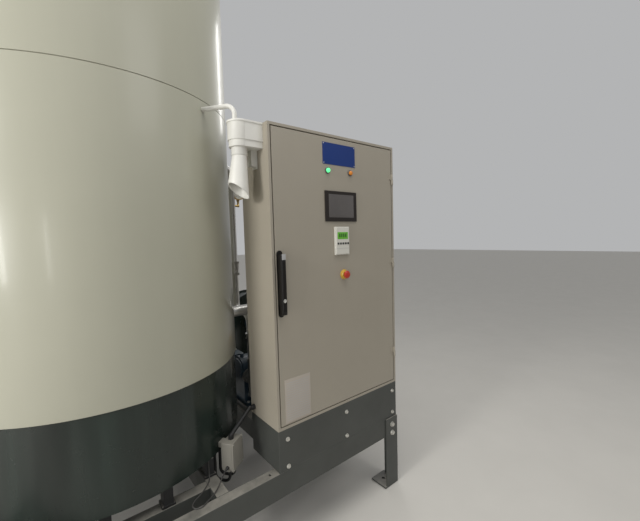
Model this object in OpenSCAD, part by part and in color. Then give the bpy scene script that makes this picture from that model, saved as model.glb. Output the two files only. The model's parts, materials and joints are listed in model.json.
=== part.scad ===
// Coil steam boiler on an open channel skid, with its control cabinet, feed pump,
// combustion blower and steam separator. Millimetres, +Z up, origin on the floor.

/* [Skid] */
// Overall depth of the skid, front to back
skid_depth = 1450; // [1440:5:1600]
// Height of the floor clearance below the beams
leg_height = 315; // [200:5:500]
// Height of the channel section
beam_h = 120; // [100:5:160]
// Width of the channel flanges
beam_b = 55; // [45:1:60]
// Thickness of the channel web
beam_web = 7; // [5:0.5:10]
// Thickness of the channel flanges
beam_flange = 9; // [6:0.5:12]
// Width of one leg angle
leg_w = 100; // [80:5:120]
// Thickness of the leg angle
leg_t = 8; // [6:1:12]
// Side of the square base plate under a leg
foot_w = 115; // [105:5:140]
// Thickness of the base plate
foot_t = 10; // [8:1:16]
// Radius of the anchor hole in each base plate
anchor_r = 9; // [6:0.5:12]

/* [Drum] */
// Radius of the light casing
casing_r = 650; // [600:5:670]
// Thickness of the casing sheet
casing_wall = 4; // [3:0.5:6]
// Step from the casing in to the dark windbox
windbox_step = 6; // [4:1:15]
// Thickness of the windbox shell
windbox_wall = 6; // [4:0.5:10]
// Height of the drum feet between skid and windbox
drum_gap = 85; // [60:5:120]
// Height of the dark windbox
windbox_h = 392; // [300:2:500]
// Height of the lower casing, windbox to seam
casing_low_h = 1231; // [1100:5:1400]
// Height of the upper casing, above the seam
casing_up_h = 737; // [500:5:900]
// Rise of the conical top cover
cover_rise = 90; // [60:5:160]
// Inner radius of the flue collar
flue_r = 200; // [150:5:250]
// Height of the flue collar above the cover
flue_h = 130; // [80:5:200]

/* [Cabinet] */
// Width of the control cabinet
cab_w = 840; // [800:10:1000]
// Height of the cabinet without its plinth
cab_h = 1400; // [1350:10:1600]
// Depth of the cabinet, front to back
cab_d = 260; // [240:5:270]
// Thickness of the cabinet sheet
cab_wall = 3; // [2:0.5:4]
// Height of the plinth
plinth_h = 200; // [120:5:240]
// Width of the frame that shows round the door
cab_rim = 13; // [10:1:20]
// Running gap between door and frame
door_gap = 5; // [5:0.5:8]
// Depth of the folded door edge
door_edge = 20; // [16:1:30]
// Thickness of the door sheet
door_sheet = 3; // [2:0.5:4]
// Radius of a hinge knuckle
hinge_r = 5; // [4:0.5:8]
// Radius of a hinge pin
hinge_pin_r = 3; // [2:0.5:3.5]
// Length of one hinge knuckle
knuckle_h = 28; // [20:1:40]

/* [Handle] */
// Height of the handle pivot above the cabinet base
handle_up = 805; // [600:5:1000]
// Distance from the door's free edge to the handle's middle
handle_in = 20; // [18:1:40]
// Width of the lever
lever_w = 28; // [24:1:34]
// Length of the lever below its pivot
lever_len = 262; // [180:2:300]
// Distance of the lever pivot in front of the door
lever_out = 22; // [20:1:28]
// Radius of the lever's rounded head
lever_head_r = 13; // [11:0.5:14]
// Radius of the lever's pin
lever_pin_r = 3; // [2:0.5:4]

/* [Door devices] */
// Width of the blank plate near the top of the door
plate_w = 220; // [150:5:260]
// Height of the blank plate
plate_h = 106; // [60:2:140]
// Radius of a pilot lamp bezel
lamp_r = 15; // [11:0.5:18]
// Width of the touch panel
touch_w = 215; // [180:5:260]
// Height of the touch panel
touch_h = 152; // [120:2:200]
// Width of the controller
control_w = 96; // [72:2:110]
// Height of the controller
control_h = 144; // [96:2:150]
// Radius of the emergency stop head
stop_r = 20; // [15:0.5:25]
// Travel of the emergency stop
stop_travel = 5; // [3:0.5:8]

/* [Feed pump and blower] */
// Radius of the pump motor
pump_motor_r = 95; // [80:5:110]
// Radius of the blower motor
blower_motor_r = 90; // [70:5:100]
// Width of the blower scroll
scroll_w = 160; // [120:5:170]
// Smallest radius of the blower scroll
scroll_r = 200; // [180:5:220]
// Growth of the scroll's radius over one turn
scroll_grow = 80; // [60:5:90]

/* [Separator and pipes] */
// Radius of the separator vessel
sep_r = 150; // [120:5:170]
// Height of the separator's straight shell
sep_h = 1050; // [800:10:1200]
// Outer radius of the steam pipe
steam_r = 44.5; // [30:0.5:57]
// Outer radius of the water pipes
water_r = 21; // [13:0.5:30]
// Wall of the pipes
pipe_wall = 4; // [3:0.5:6]

/* [Hidden] */
$fn = 48;

// Height of the lap inside the seam of the casing, and of the groove that shows outside
lap = 40;
seam_groove = 3;

// Clearance where curved pieces seat, and round running pins
seat = 0.3;
run_gap = 0.05;

// Radius of the bulge of the lever's front and the thickness of a bolt with its washer
lever_bulge = 3;
bolt_t = 12;

// Places of the drum and the skid's ends, from the cabinet's front left corner
drum_x = -560;
drum_back = 35;
drum_y = skid_depth / 2 + drum_back;
skid_left = drum_x - casing_r - 20;
skid_right = cab_w;
front_reach = lever_out + lever_head_r + lever_bulge;
back_reach = skid_depth + leg_t + bolt_t;
mid_x = (skid_left + skid_right) / 2;
mid_y = (back_reach - front_reach) / 2;

// Levels
beam_z = leg_height;
deck_z = beam_z + beam_h;
windbox_z = deck_z + drum_gap;
casing_z = windbox_z + windbox_h;
seam_z = casing_z + casing_low_h;
cover_z = seam_z + casing_up_h;
cab_z = deck_z + plinth_h;
cab_top = cab_z + cab_h;
windbox_r = casing_r - windbox_step;

// Skid members behind the cabinet, by the y of their webs
bearer_plinth = cab_d - beam_b;
bearer_y = [bearer_plinth, 330, skid_depth - 850, skid_depth - 550, skid_depth - 290];
foot_dx = 280;
inner_dx = 110;
inner_gap = 5;
inner_reach = skid_depth / 2 - drum_back - beam_b - inner_gap;
foot_inset = 6;
cross_x = [drum_x - foot_dx, drum_x + foot_dx];
bay_x = drum_x + casing_r + 40;
leg_mid_x = drum_x - leg_w / 2;

// Leg bolts and plinth bolts: places, head and washer sizes
leg_bolt_z = [17, 69];
plinth_bolt_x = [48, cab_w / 2 + 5, cab_w - 37];
plinth_bolt_z = [19, 151];
bolt_head_r = 12;
washer_r = 15;
washer_t = 3;

// Door and its devices
door_x0 = cab_rim + door_gap;
door_x1 = cab_w - cab_rim - door_gap;
door_z0 = cab_z + cab_rim + door_gap;
door_z1 = cab_top - cab_rim - door_gap;
stop_frame_y = door_edge + 5;
hinge_x = cab_w - cab_rim - door_gap / 2;
hinge_y = -hinge_r - 1;
hinge_z = [cab_z + 160, cab_z + cab_h / 2, cab_top - 160 - 2 * knuckle_h];
handle_x = door_x0 + handle_in;
handle_z = cab_z + handle_up;
lamp_z = cab_top - 180;
lamp_x = [cab_w / 2 - 84, cab_w / 2 + 70];
plate_x = cab_w / 2 - 113;
plate_z = cab_top - 43 - plate_h;
touch_x = cab_w / 2 - 107;
touch_z = cab_top - 432;
control_x = cab_w / 2 - 51;
control_z = cab_top - 603;
stop_x = cab_w / 2 + 12;
stop_z = cab_top - 707;

// Separator, pump, blower and their supports
sep_x = cab_w - 190;
sep_y = (bearer_y[1] + bearer_y[2]) / 2 + 25;
sep_plate = [320, 270];
sep_z = 860;
sep_head = 60;
pump_x = 150;
pump_w = 320;
pump_y = bearer_y[2];
pump_z = deck_z + 15;
blower_x = cab_w - 260;
blower_y = skid_depth - 25 - scroll_w;
blower_z = deck_z + 115 + scroll_r + scroll_grow;

// Moves a piece from the cabinet's corner to the frame of the whole part
module place() translate([-mid_x, -mid_y, 0]) children();

// Distance of a small flange hole to the left of the cabinet
flange_hole_dx = 38;

// Channel along +X, web on its -Y side, from the origin
module channel(length)
    rotate([90, 0, 90]) linear_extrude(length) polygon([
        [0, 0], [beam_b, 0], [beam_b, beam_flange], [beam_web, beam_flange],
        [beam_web, beam_h - beam_flange], [beam_b, beam_h - beam_flange], [beam_b, beam_h], [0, beam_h]
    ]);

// The same with its web on the +Y side, back face at y = 0
module channel_back(length) mirror([0, 1, 0]) channel(length);

// Channel along +Y, web on its -X side
module channel_y(length) mirror([1, 0, 0]) rotate([0, 0, 90]) channel(length);

// Ring of a given outer radius, wall and height
module ring(r, wall, height)
    difference() {
        cylinder(h = height, r = r);
        translate([0, 0, -1]) cylinder(h = height + 2, r = r - wall);
    }

// The cylinder that trims what meets the drum
module drum_space(r = casing_r + seat)
    translate([drum_x, drum_y, 0]) cylinder(h = cover_z, r = r, $fn = 96);

// Rigid frame with its Z along d, at p
function side_of(d) = abs(d[2]) < 0.9 ? cross(d, [0, 0, 1]) / norm(cross(d, [0, 0, 1])) : [1, 0, 0];
module along(p, d) {
    e = side_of(d);
    f = cross(d, e);
    multmatrix([[e[0], f[0], d[0], p[0]], [e[1], f[1], d[1], p[1]], [e[2], f[2], d[2], p[2]], [0, 0, 0, 1]])
        children();
}

// Quarter bend at corner p, from direction a to direction b
module bend(p, a, b, turn_r, r) {
    c = p - turn_r * a + turn_r * b;
    n = cross(a, b);
    multmatrix([
        [-b[0], a[0], n[0], c[0]], [-b[1], a[1], n[1], c[1]], [-b[2], a[2], n[2], c[2]], [0, 0, 0, 1]
    ])
        rotate_extrude(angle = 90) translate([turn_r, 0]) circle(r = r);
}

// Pipe along points whose turns are right angles
module pipe_run(points, turn_r, r) {
    last = len(points) - 1;
    dirs = [for (i = [0:last - 1]) (points[i + 1] - points[i]) / norm(points[i + 1] - points[i])];
    for (i = [0:last - 1]) {
        start = points[i] + (i == 0 ? 0 : turn_r) * dirs[i];
        end = points[i + 1] - (i == last - 1 ? 0 : turn_r) * dirs[i];
        along(start, dirs[i]) cylinder(h = norm(end - start), r = r);
        if (i < last - 1) bend(points[i + 1], dirs[i], dirs[i + 1], turn_r, r);
    }
}

// Flange with four bolts' holes, from the origin up +Z
module flange(r, bore_r, thick, pcd_r, hole_r)
    difference() {
        cylinder(h = thick, r = r);
        translate([0, 0, -1]) cylinder(h = thick + 2, r = bore_r);
        for (a = [45:90:315])
            rotate(a) translate([pcd_r, 0, -1]) cylinder(h = thick + 2, r = hole_r, $fn = 24);
    }

// Hexagon bolt head on a washer, pointing to -Y
module bolt_head()
    rotate([90, 0, 0]) {
        cylinder(h = washer_t, r = washer_r);
        translate([0, 0, washer_t]) cylinder(h = bolt_t - washer_t, r = bolt_head_r, $fn = 6);
    }

module skid_beam_front() color("darkslategray") place() translate([skid_left, 0, beam_z])
    difference() {
        channel(skid_right - skid_left);
        translate([-flange_hole_dx - skid_left, beam_b / 2, beam_h - beam_flange - 1])
            cylinder(h = beam_flange + 2, r = 5, $fn = 24);
    }

module skid_beam_rear() color("darkslategray") place() translate([skid_left, skid_depth, beam_z])
    channel_back(skid_right - skid_left);

module skid_inner_beams() color("darkslategray") place() {
    inner_len = 2 * foot_dx - beam_b;
    translate([cross_x[0] + beam_b, drum_y - inner_reach, beam_z]) channel(inner_len);
    translate([cross_x[0] + beam_b, drum_y + inner_reach, beam_z]) channel_back(inner_len);
    for (y = bearer_y)
        translate([bay_x + beam_b, y, beam_z]) channel(skid_right - beam_b - bay_x - beam_b);
}

module skid_cross_members() color("darkslategray") place()
    for (x = [skid_left, cross_x[0], cross_x[1], bay_x, skid_right - beam_b])
        translate([x, beam_b, beam_z]) channel_y(skid_depth - 2 * beam_b);

// Leg angle in front of the beam, its inner flange under the beam
module leg()
    difference() {
        union() {
            translate([0, -leg_t, foot_t]) cube([leg_w, leg_t, beam_z + beam_h - 10 - foot_t]);
            translate([leg_w - leg_t, 0, foot_t]) cube([leg_t, leg_w - leg_t, beam_z - foot_t]);
            translate([leg_w - foot_w, -leg_t, 0]) cube([foot_w, foot_w, foot_t]);
        }
        translate([leg_w / 2 - 10, foot_w / 2, -1]) cylinder(h = foot_t + 2, r = anchor_r);
    }

module skid_legs() color("darkslategray") place()
    for (back = [0, 1])
        translate([0, back * skid_depth, 0]) mirror([0, back, 0]) {
            translate([skid_right - leg_w, 0, 0]) leg();
            translate([leg_mid_x, 0, 0]) leg();
            translate([skid_left + leg_w, 0, 0]) mirror([1, 0, 0]) leg();
        }

module frame_bolts() color("silver") place() {
    for (back = [0, 1])
        translate([0, back * skid_depth, 0]) mirror([0, back, 0])
            for (x = [skid_right - leg_w / 2, leg_mid_x + leg_w / 2, skid_left + leg_w / 2])
                for (z = leg_bolt_z) translate([x, -leg_t, beam_z + z]) bolt_head();
    for (x = plinth_bolt_x)
        for (z = plinth_bolt_z) translate([x, 0, deck_z + z]) scale(0.7) bolt_head();
}

// Black feet between the skid and the windbox
foot_tangent = 38;
module drum_feet() color("black") place()
    for (side = [-1, 1])
        for (face = [-1, 1]) {
            far = sqrt(windbox_r * windbox_r - foot_dx * foot_dx);
            near = inner_reach - beam_b / 2 - foot_inset;
            translate([drum_x + side * foot_dx + beam_b / 2, drum_y + face * (far - 45), deck_z])
                foot_block(beam_b);
            translate([drum_x + side * inner_dx, drum_y + face * near, deck_z]) foot_block(beam_b);
        }

module foot_block(depth) {
    translate([-foot_tangent / 2, -depth / 2, 0]) cube([foot_tangent, depth, drum_gap]);
    translate([-foot_tangent / 2 - 8, -depth / 2 - 2, 0]) cube([foot_tangent + 16, depth + 4, 10]);
}

// Direction and root of the gas pipe, at the rear left of the windbox
gas_angle = 135;
gas_r = 30;
gas_bore = 26;
module gas_frame()
    translate([drum_x, drum_y, windbox_z + 180]) rotate(gas_angle) rotate([0, 90, 0]) children();

module windbox_shell() color("darkslategray") place()
    difference() {
        translate([drum_x, drum_y, windbox_z]) ring(windbox_r, windbox_wall, windbox_h, $fn = 96);
        gas_frame() cylinder(h = casing_r + 100, r = gas_bore + 2);
    }

module windbox_floor() color("dimgray") place() translate([drum_x, drum_y, windbox_z])
    cylinder(h = 10, r = windbox_r - windbox_wall - seat, $fn = 96);

module casing_lower() color("lightgray") place() translate([drum_x, drum_y, casing_z]) {
    ring(casing_r, casing_wall, casing_low_h, $fn = 96);
    translate([0, 0, casing_low_h - lap]) ring(casing_r - 1, 2 * casing_wall - 1, lap, $fn = 96);
    translate([0, 0, casing_low_h - 1])
        ring(casing_r - casing_wall - seat, casing_wall - seat, lap, $fn = 96);
}

module casing_upper() color("lightgray") place() translate([drum_x, drum_y, seam_z + seam_groove])
    ring(casing_r, casing_wall, casing_up_h - seam_groove, $fn = 96);

module casing_top() color("lightgray") place() translate([drum_x, drum_y, cover_z])
    rotate_extrude($fn = 96) polygon([
        [flue_r + 4, cover_rise + 14], [flue_r + 10, cover_rise + 14], [flue_r + 14, cover_rise],
        [casing_r - 6, cover_edge], [casing_r, cover_edge - 6], [casing_r, 0], [casing_r - 30, 0],
        [flue_r + 4, cover_rise - cover_edge]
    ]);

// Flat coil of tubes under the flue, on three bars that reach the casing
coil_tube_r = 19;
coil_pitch = 64;
module heating_coil() color("dimgray") place() translate([drum_x, drum_y, cover_z - 150]) {
    for (layer = [0, 1], i = [0:7])
        translate([0, 0, layer * 46]) rotate_extrude()
            translate([70 + coil_pitch * (i + layer / 2), 0]) circle(r = coil_tube_r, $fn = 16);
    for (a = [0:60:300]) rotate(a)
        translate([40, -12, -coil_tube_r - 24]) cube([casing_r - casing_wall - seat - 40, 24, 26]);
    for (a = [0:60:300], i = [0:7]) rotate(a)
        translate([70 + coil_pitch * (i + 0.5) - 8, -12, -coil_tube_r]) cube([16, 24, 55]);
}

module flue_collar() color("gray") place() translate([drum_x, drum_y, cover_z + cover_rise - 20]) {
    ring(flue_r + 4 - seat, 4 - seat, flue_h);
    translate([0, 0, flue_h - 8]) difference() {
        cylinder(h = 8, r = flue_r + 40);
        translate([0, 0, -1]) cylinder(h = 10, r = flue_r);
        for (a = [22.5:45:360]) rotate(a) translate([flue_r + 22, 0, -1]) cylinder(h = 10, r = 6, $fn = 24);
    }
}

lug_t = 12;
lug_at = casing_r - 80;
lug_hole_r = 14;
cover_edge = 12;
function cover_at(r) = cover_rise + (cover_edge - cover_rise) * (r - flue_r - 14) / (casing_r - flue_r - 20);
module lifting_lugs() color("darkslategray") place() translate([drum_x, drum_y, cover_z])
    for (a = [45:90:315]) rotate(a) translate([lug_at, lug_t / 2, 0]) rotate([90, 0, 0])
        difference() {
            linear_extrude(lug_t) polygon([
                [-35, cover_at(lug_at - 35)], [45, cover_at(lug_at + 45)],
                [45, 45], [30, 90], [-10, 90], [-35, 60]
            ]);
            translate([10, 62, -1]) cylinder(h = lug_t + 2, r = lug_hole_r);
        }

module gas_inlet() color("goldenrod") place()
    difference() {
        union() {
            gas_frame() translate([0, 0, windbox_r - 30]) cylinder(h = 130, r = gas_r);
            gas_frame() translate([0, 0, windbox_r + 100]) flange(60, 1, 14, 46, 7);
        }
        gas_frame() cylinder(h = casing_r + 150, r = gas_bore);
        drum_space(windbox_r + seat);
    }

// Blower scroll: radius grows over one turn, outlet towards the drum at the bottom
scroll_rim = 16;
rim_t = 5;
outlet_x = blower_x - 320;
function scroll_at(a) = scroll_r + scroll_grow * a / 360;
module scroll_disc(more, thick) rotate([90, 0, 0]) linear_extrude(thick)
    polygon([for (a = [0:6:360]) (scroll_at(a) + more) * [-sin(a + 180), cos(a + 180)]]);

duct_low = blower_z - scroll_r - scroll_grow;
duct_h = 200;
duct_rim = 22;
blower_foot = [40, 180];
blower_foot_x = [blower_x - 105, blower_x + 110];
module blower_housing() color("darkslategray") place() {
    translate([blower_x, blower_y + scroll_w, blower_z]) scroll_disc(0, scroll_w);
    for (y = [rim_t, scroll_w]) translate([blower_x, blower_y + y, blower_z]) scroll_disc(scroll_rim, rim_t);
    translate([outlet_x, blower_y, duct_low]) cube([320, scroll_w, duct_h]);
    translate([outlet_x, blower_y - duct_rim, duct_low - duct_rim])
        cube([6, scroll_w + 2 * duct_rim, duct_h + 2 * duct_rim]);
    for (x = blower_foot_x) {
        translate([x, bearer_y[4], deck_z]) cube([blower_foot[0], skid_depth - bearer_y[4] - 25, 10]);
        translate([x, blower_y, deck_z]) cube([blower_foot[0], scroll_w, blower_foot[1]]);
    }
}

// Inlet cone with its ring and guard bars, behind the scroll
module blower_inlet() color("silver") place()
    translate([blower_x, skid_depth - 25, blower_z]) rotate([-90, 0, 0]) {
        rotate_extrude() polygon([[100, 0], [150, 0], [150, 4], [112, 20], [104, 20]]);
        for (r = [40, 72]) translate([0, 0, 15]) rotate_extrude() translate([r, 0]) circle(r = 2.5, $fn = 16);
        for (a = [0, 90]) rotate(a) translate([-105, -3, 12]) cube([210, 6, 6]);
    }

// Finned motor, its shaft face at the origin and its body along +Z
motor_fin = 8;
module motor(r, length) {
    bell = length * 0.14;
    cylinder(h = bell, r = r - 2);
    cylinder(h = length - bell, r = r - motor_fin);
    for (a = [0:12:348]) rotate(a) translate([0, -1.5, bell - 1]) cube([r, 3, length - 2.5 * bell]);
    translate([0, 0, length - 1.6 * bell]) rotate_extrude()
        polygon([[0, 0], [r - 1, 0], [r - 1, bell], [r - 14, 1.6 * bell], [0, 1.6 * bell]]);
    translate([-r / 2, -r * 1.32, length * 0.28]) cube([r, r / 2, r]);
    translate([-r / 2 - 3, -r * 1.36, length * 0.28 - 3]) cube([r + 6, r * 0.08, r + 6]);
    translate([0, -r * 1.1, length * 0.28 - 16]) cylinder(h = 20, r = r * 0.12);
}

blower_motor_len = 260;
module blower_motor() color("steelblue") place()
    translate([blower_x, blower_y, blower_z]) rotate([90, 0, 0]) {
        cylinder(h = 14, r = blower_motor_r + 18);
        translate([0, 0, 10]) rotate(180) motor(blower_motor_r, blower_motor_len);
    }

module air_duct() color("darkslategray") place()
    difference() {
        union() {
            translate([drum_x + 60, blower_y, duct_low]) cube([outlet_x - drum_x - 60, scroll_w, duct_h]);
            translate([outlet_x - 6, blower_y - duct_rim, duct_low - duct_rim])
                cube([6, scroll_w + 2 * duct_rim, duct_h + 2 * duct_rim]);
        }
        drum_space(windbox_r + seat);
    }

// Plate under pump and motor, with a folded rim
base_len = 535;
base_start = 30;
base_rim = [6, 30];
module pump_base() color("darkslategray") place() translate([pump_x, pump_y + base_start, deck_z]) {
    cube([pump_w, base_len - base_start, pump_z - deck_z]);
    for (x = [0, pump_w - base_rim[0]])
        translate([x, 0, 0]) cube([base_rim[0], base_len - base_start, base_rim[1]]);
}

// Feed pump: crankcase with a round top, end covers with screws, shaft along +X
crank = [180, 160, 200];
crank_at = [20, 90, 24];
crank_axis = [crank_at[1] + crank[1] / 2, crank_at[2] + crank[2]];
module feed_pump() color("steelblue") place() translate([pump_x, pump_y, pump_z]) {
    translate([crank_at[0], crank_at[1] - 30, 0]) cube([crank[0], crank[1] + 60, crank_at[2]]);
    translate([crank_at[0], 0, 0]) rotate([90, 0, 90]) linear_extrude(crank[0]) union() {
        translate([crank_at[1], crank_at[2] - 1]) square([crank[1], crank[2] + 1]);
        translate(crank_axis) circle(r = crank[1] / 2);
    }
    translate([crank_at[0] - 10, crank_axis[0], crank_axis[1]]) rotate([0, 90, 0]) {
        cylinder(h = crank[0] + 20, r = 66);
        translate([0, 0, 10]) cylinder(h = guard_x - crank_at[0], r = 30);
        for (a = [0:60:300], h = [-5, crank[0] + 20])
            rotate(a) translate([54, 0, h]) cylinder(h = 5, r = 6, $fn = 6);
    }
    for (x = [30, crank[0] - 10]) translate([crank_at[0] + x - 10, crank_axis[0] - 20, crank_axis[1] + 60])
        cylinder(h = 40, r = 12);
}

// Two valve columns with hexagon caps, joined by a suction and a discharge pipe
head_x = [55, 145];
head_y = 46;
head_r = 24;
port_z = 190;
port_r = 46;
column_z = [80, 310];
suction_end = skid_right - pump_x - 8;
support_w = 30;
suction_bore = 60;
suction_flange_r = 62;
module pump_heads() color("silver") place() translate([pump_x, pump_y, pump_z]) {
    for (x = head_x) translate([x, 0, 0]) {
        translate([0, crank_at[1] - 14, port_z]) rotate([-90, 0, 0]) cylinder(h = 14 - seat, r = port_r);
        translate([0, head_y, port_z]) rotate([-90, 0, 0])
            cylinder(h = crank_at[1] - 10 - head_y, r = port_r - 12);
        translate([0, head_y, column_z[0]]) cylinder(h = column_z[1] - column_z[0], r = head_r);
        for (z = [column_z[0] - 6, column_z[1] - 14])
            translate([0, head_y, z]) cylinder(h = 20, r = 31, $fn = 6);
    }
    for (z = [column_z[0] + 30, column_z[1] - 34]) translate([head_x[0], head_y, z]) rotate([0, 90, 0])
        cylinder(h = head_x[1] - head_x[0], r = 15);
    // Suction line to the right end of the skid, on its support
    translate([suction_end, head_y, column_z[0] + 30]) rotate([0, -90, 0]) difference() {
        union() {
            cylinder(h = suction_end - head_x[1], r = water_r);
            flange(suction_flange_r, 1, 14, 46, 7);
        }
        translate([0, 0, -1]) cylinder(h = suction_bore + 1, r = water_r - pipe_wall);
        translate([0, 0, suction_bore - 0.1]) cylinder(h = 4, r = water_r - pipe_wall + 1.5);
    }
    translate([suction_end - 90, head_y - 0.6 * support_w, deck_z - pump_z])
        cube([8, support_w, pump_z - deck_z + column_z[0] + 20]);
}

// Motor beside the pump, its shaft parallel to the pump's
motor_axis = [base_len - 110, 20 + pump_motor_r];
motor_len = 230;
guard_x = crank_at[0] + crank[0] + 22;
module pump_motor() color("steelblue") place() translate([pump_x + guard_x, pump_y, pump_z]) {
    translate([0, motor_axis[0], motor_axis[1]]) rotate([0, -90, 0]) rotate(90)
        motor(pump_motor_r, motor_len);
    for (x = [-motor_len * 0.8, -motor_len * 0.25]) {
        translate([x, motor_axis[0] - 85, 0]) cube([34, 170, 12]);
        for (side = [-1, 1])
            translate([x, motor_axis[0] + side * 60 - 7, 0]) cube([34, 14, motor_axis[1] * 0.6]);
    }
}

// Guard over both pulleys: two rounds and the straight sides between them
pulley_r = [124, 74];
guard_t = 62;
module guard_outline(less = 0) {
    d = crank_axis - motor_axis;
    span = norm(d);
    turn = atan2(d[1], d[0]);
    lean = asin((pulley_r[0] - pulley_r[1]) / span);
    translate(motor_axis) circle(r = pulley_r[1] - less);
    translate(crank_axis) circle(r = pulley_r[0] - less);
    for (side = [-1, 1]) {
        n = [cos(turn + side * (90 + lean)), sin(turn + side * (90 + lean))];
        polygon([
            motor_axis, motor_axis + (pulley_r[1] - less) * n,
            crank_axis + (pulley_r[0] - less) * n, crank_axis
        ]);
    }
}

module belt_guard() color("goldenrod") place() translate([pump_x + guard_x, pump_y, pump_z]) {
    rotate([90, 0, 90]) {
        linear_extrude(guard_t) guard_outline();
        linear_extrude(guard_t + 4) guard_outline(10);
    }
    translate([4, crank_axis[0] - 60, 0]) cube([44, 40, crank_axis[1] - 94]);
    translate([4, motor_axis[0] - 20, 0]) cube([44, 40, 60]);
}

// Riser from the pump's first column, behind the drum's edge, into the drum above the cabinet
feed_x = pump_x + head_x[0];
riser_back = 230;
feed_y = pump_y + riser_back;
feed_top = 2000;
module feed_pipe() color("silver") place()
    difference() {
        union() {
            pipe_run([
                [feed_x, pump_y + head_y, pump_z + column_z[1] + 6], [feed_x, pump_y + head_y, 1050],
                [feed_x, feed_y, 1050], [feed_x, feed_y, feed_top], [drum_x + casing_r - 30, feed_y, feed_top]
            ], 60, water_r);
            translate([feed_x, feed_y, feed_top - 96]) cylinder(h = 34, r = water_r + 13, $fn = 6);
            translate([feed_x, pump_y + head_y, 900]) cylinder(h = 30, r = water_r + 12, $fn = 6);
            translate([feed_x, feed_y, 1300]) cylinder(h = 70, r = water_r + 8);
            translate([feed_x, feed_y, 1290]) cylinder(h = 14, r = water_r + 14, $fn = 6);
            translate([feed_x, feed_y, 1366]) cylinder(h = 14, r = water_r + 14, $fn = 6);
            for (gap = [28, 46])
                translate([drum_x + casing_r + gap, feed_y, feed_top]) rotate([0, -90, 0])
                    cylinder(h = 16, r = 2 * water_r);
        }
        drum_space();
    }

module head_outline() polygon([[0, 0], [sep_r, 0], [sep_r - 12, 30], [sep_r - 60, sep_head], [0, sep_head]]);
module separator_vessel() color("silver") place() translate([sep_x, sep_y, sep_z]) {
    cylinder(h = sep_h, r = sep_r);
    translate([0, 0, sep_h]) rotate_extrude() head_outline();
    mirror([0, 0, 1]) rotate_extrude() head_outline();
    for (z = [0, sep_h / 2 - 15, sep_h - 30]) translate([0, 0, z]) cylinder(h = 30, r = sep_r + 2);
    translate([0, 0, -sep_head - 60]) cylinder(h = 62, r = water_r);
    translate([0, 0, -sep_head - 74]) cylinder(h = 18, r = water_r + 12, $fn = 6);
}

module separator_legs() color("darkslategray") place() {
    for (a = [45:90:315])
        translate([sep_x, sep_y, 0]) rotate(a) translate([sep_r + 2 + seat, -25, deck_z + 10])
            cube([8, 50, sep_z - deck_z + 80]);
    translate([sep_x - sep_plate[0] / 2, sep_y - sep_plate[1] / 2, deck_z])
        cube([sep_plate[0], sep_plate[1], 10]);
}

coil_z = 1120;
module coil_pipe() color("silver") place()
    difference() {
        pipe_run([
            [drum_x + 400, sep_y, coil_z], [sep_x - sep_r + 10, sep_y, coil_z]
        ], 60, water_r + 9);
        drum_space();
        translate([sep_x, sep_y, 0]) cylinder(h = cab_top, r = sep_r + seat);
    }

steam_z = sep_z + sep_h + sep_head + 60;
module steam_path(r, more = 0)
    pipe_run([
        [sep_x, sep_y, sep_z + sep_h + sep_head - more], [sep_x, sep_y, steam_z], [sep_x, 700 + more, steam_z]
    ], 60, r);

module steam_pipe() color("silver") place()
    difference() {
        union() {
            steam_path(steam_r);
            along([sep_x, 684, steam_z], [0, 1, 0]) flange(90, 1, 16, 72, 9);
        }
        steam_path(steam_r - pipe_wall, 1);
    }

// Globe valve on the steam pipe: body, bonnet, yoke and hand wheel
valve_y = [700, 860];
valve_mid = (valve_y[0] + valve_y[1]) / 2;
module steam_valve() color("steelblue") place() {
    difference() {
        union() {
            along([sep_x, valve_y[0], steam_z], [0, 1, 0]) flange(90, 1, 16, 72, 9);
            along([sep_x, valve_y[0] + 10, steam_z], [0, 1, 0])
                cylinder(h = valve_y[1] - valve_y[0] - 20, r = 52);
            translate([sep_x, valve_mid, steam_z]) sphere(r = 68);
            along([sep_x, valve_y[1] - 16, steam_z], [0, 1, 0]) flange(90, 1, 16, 72, 9);
        }
        along([sep_x, valve_y[0] - 10, steam_z], [0, 1, 0]) cylinder(h = 200, r = steam_r - pipe_wall);
    }
    translate([sep_x, valve_mid, steam_z]) {
        translate([0, 0, 58]) cylinder(h = 14, r = 50);
        translate([0, 0, 72]) cylinder(h = 12, r = 44);
        for (a = [0:60:300]) rotate(a) translate([38, 0, 84]) cylinder(h = 6, r = 6, $fn = 6);
        translate([0, 0, 84]) cylinder(h = 66, r = 9);
        for (side = [-1, 1]) translate([side * 24 - 4, -8, 84]) cube([8, 16, 40]);
        translate([-28, -8, 118]) cube([56, 16, 10]);
        translate([0, 0, 150]) {
            rotate_extrude() translate([62, 0]) circle(r = 7, $fn = 24);
            for (a = [0:72:288]) rotate(a) translate([0, -4, -4]) cube([62, 8, 8]);
            translate([0, 0, -8]) cylinder(h = 18, r = 13);
        }
    }
}

// Safety valve on the separator's head: nozzle, body with its side outlet, spring cap and lever
module safety_valve() color("goldenrod") place()
    translate([sep_x + 92, sep_y, sep_z + sep_h]) difference() {
        union() {
            cylinder(h = 84, r = 14);
            translate([0, 0, 56]) cylinder(h = 20, r = 25, $fn = 6);
            translate([0, 0, 76]) cylinder(h = 40, r = 24);
            translate([0, 0, 96]) rotate([0, 90, 0]) cylinder(h = 46, r = 13);
            translate([0, 0, 116]) cylinder(h = 44, r = 17);
            translate([0, 0, 160]) cylinder(h = 14, r = 10);
            translate([-6, -3, 164]) cube([62, 6, 5]);
        }
        translate([-92, 0, 0]) rotate_extrude() head_outline();
        translate([30, 0, 96]) rotate([0, 90, 0]) cylinder(h = 30, r = 9);
    }

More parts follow.
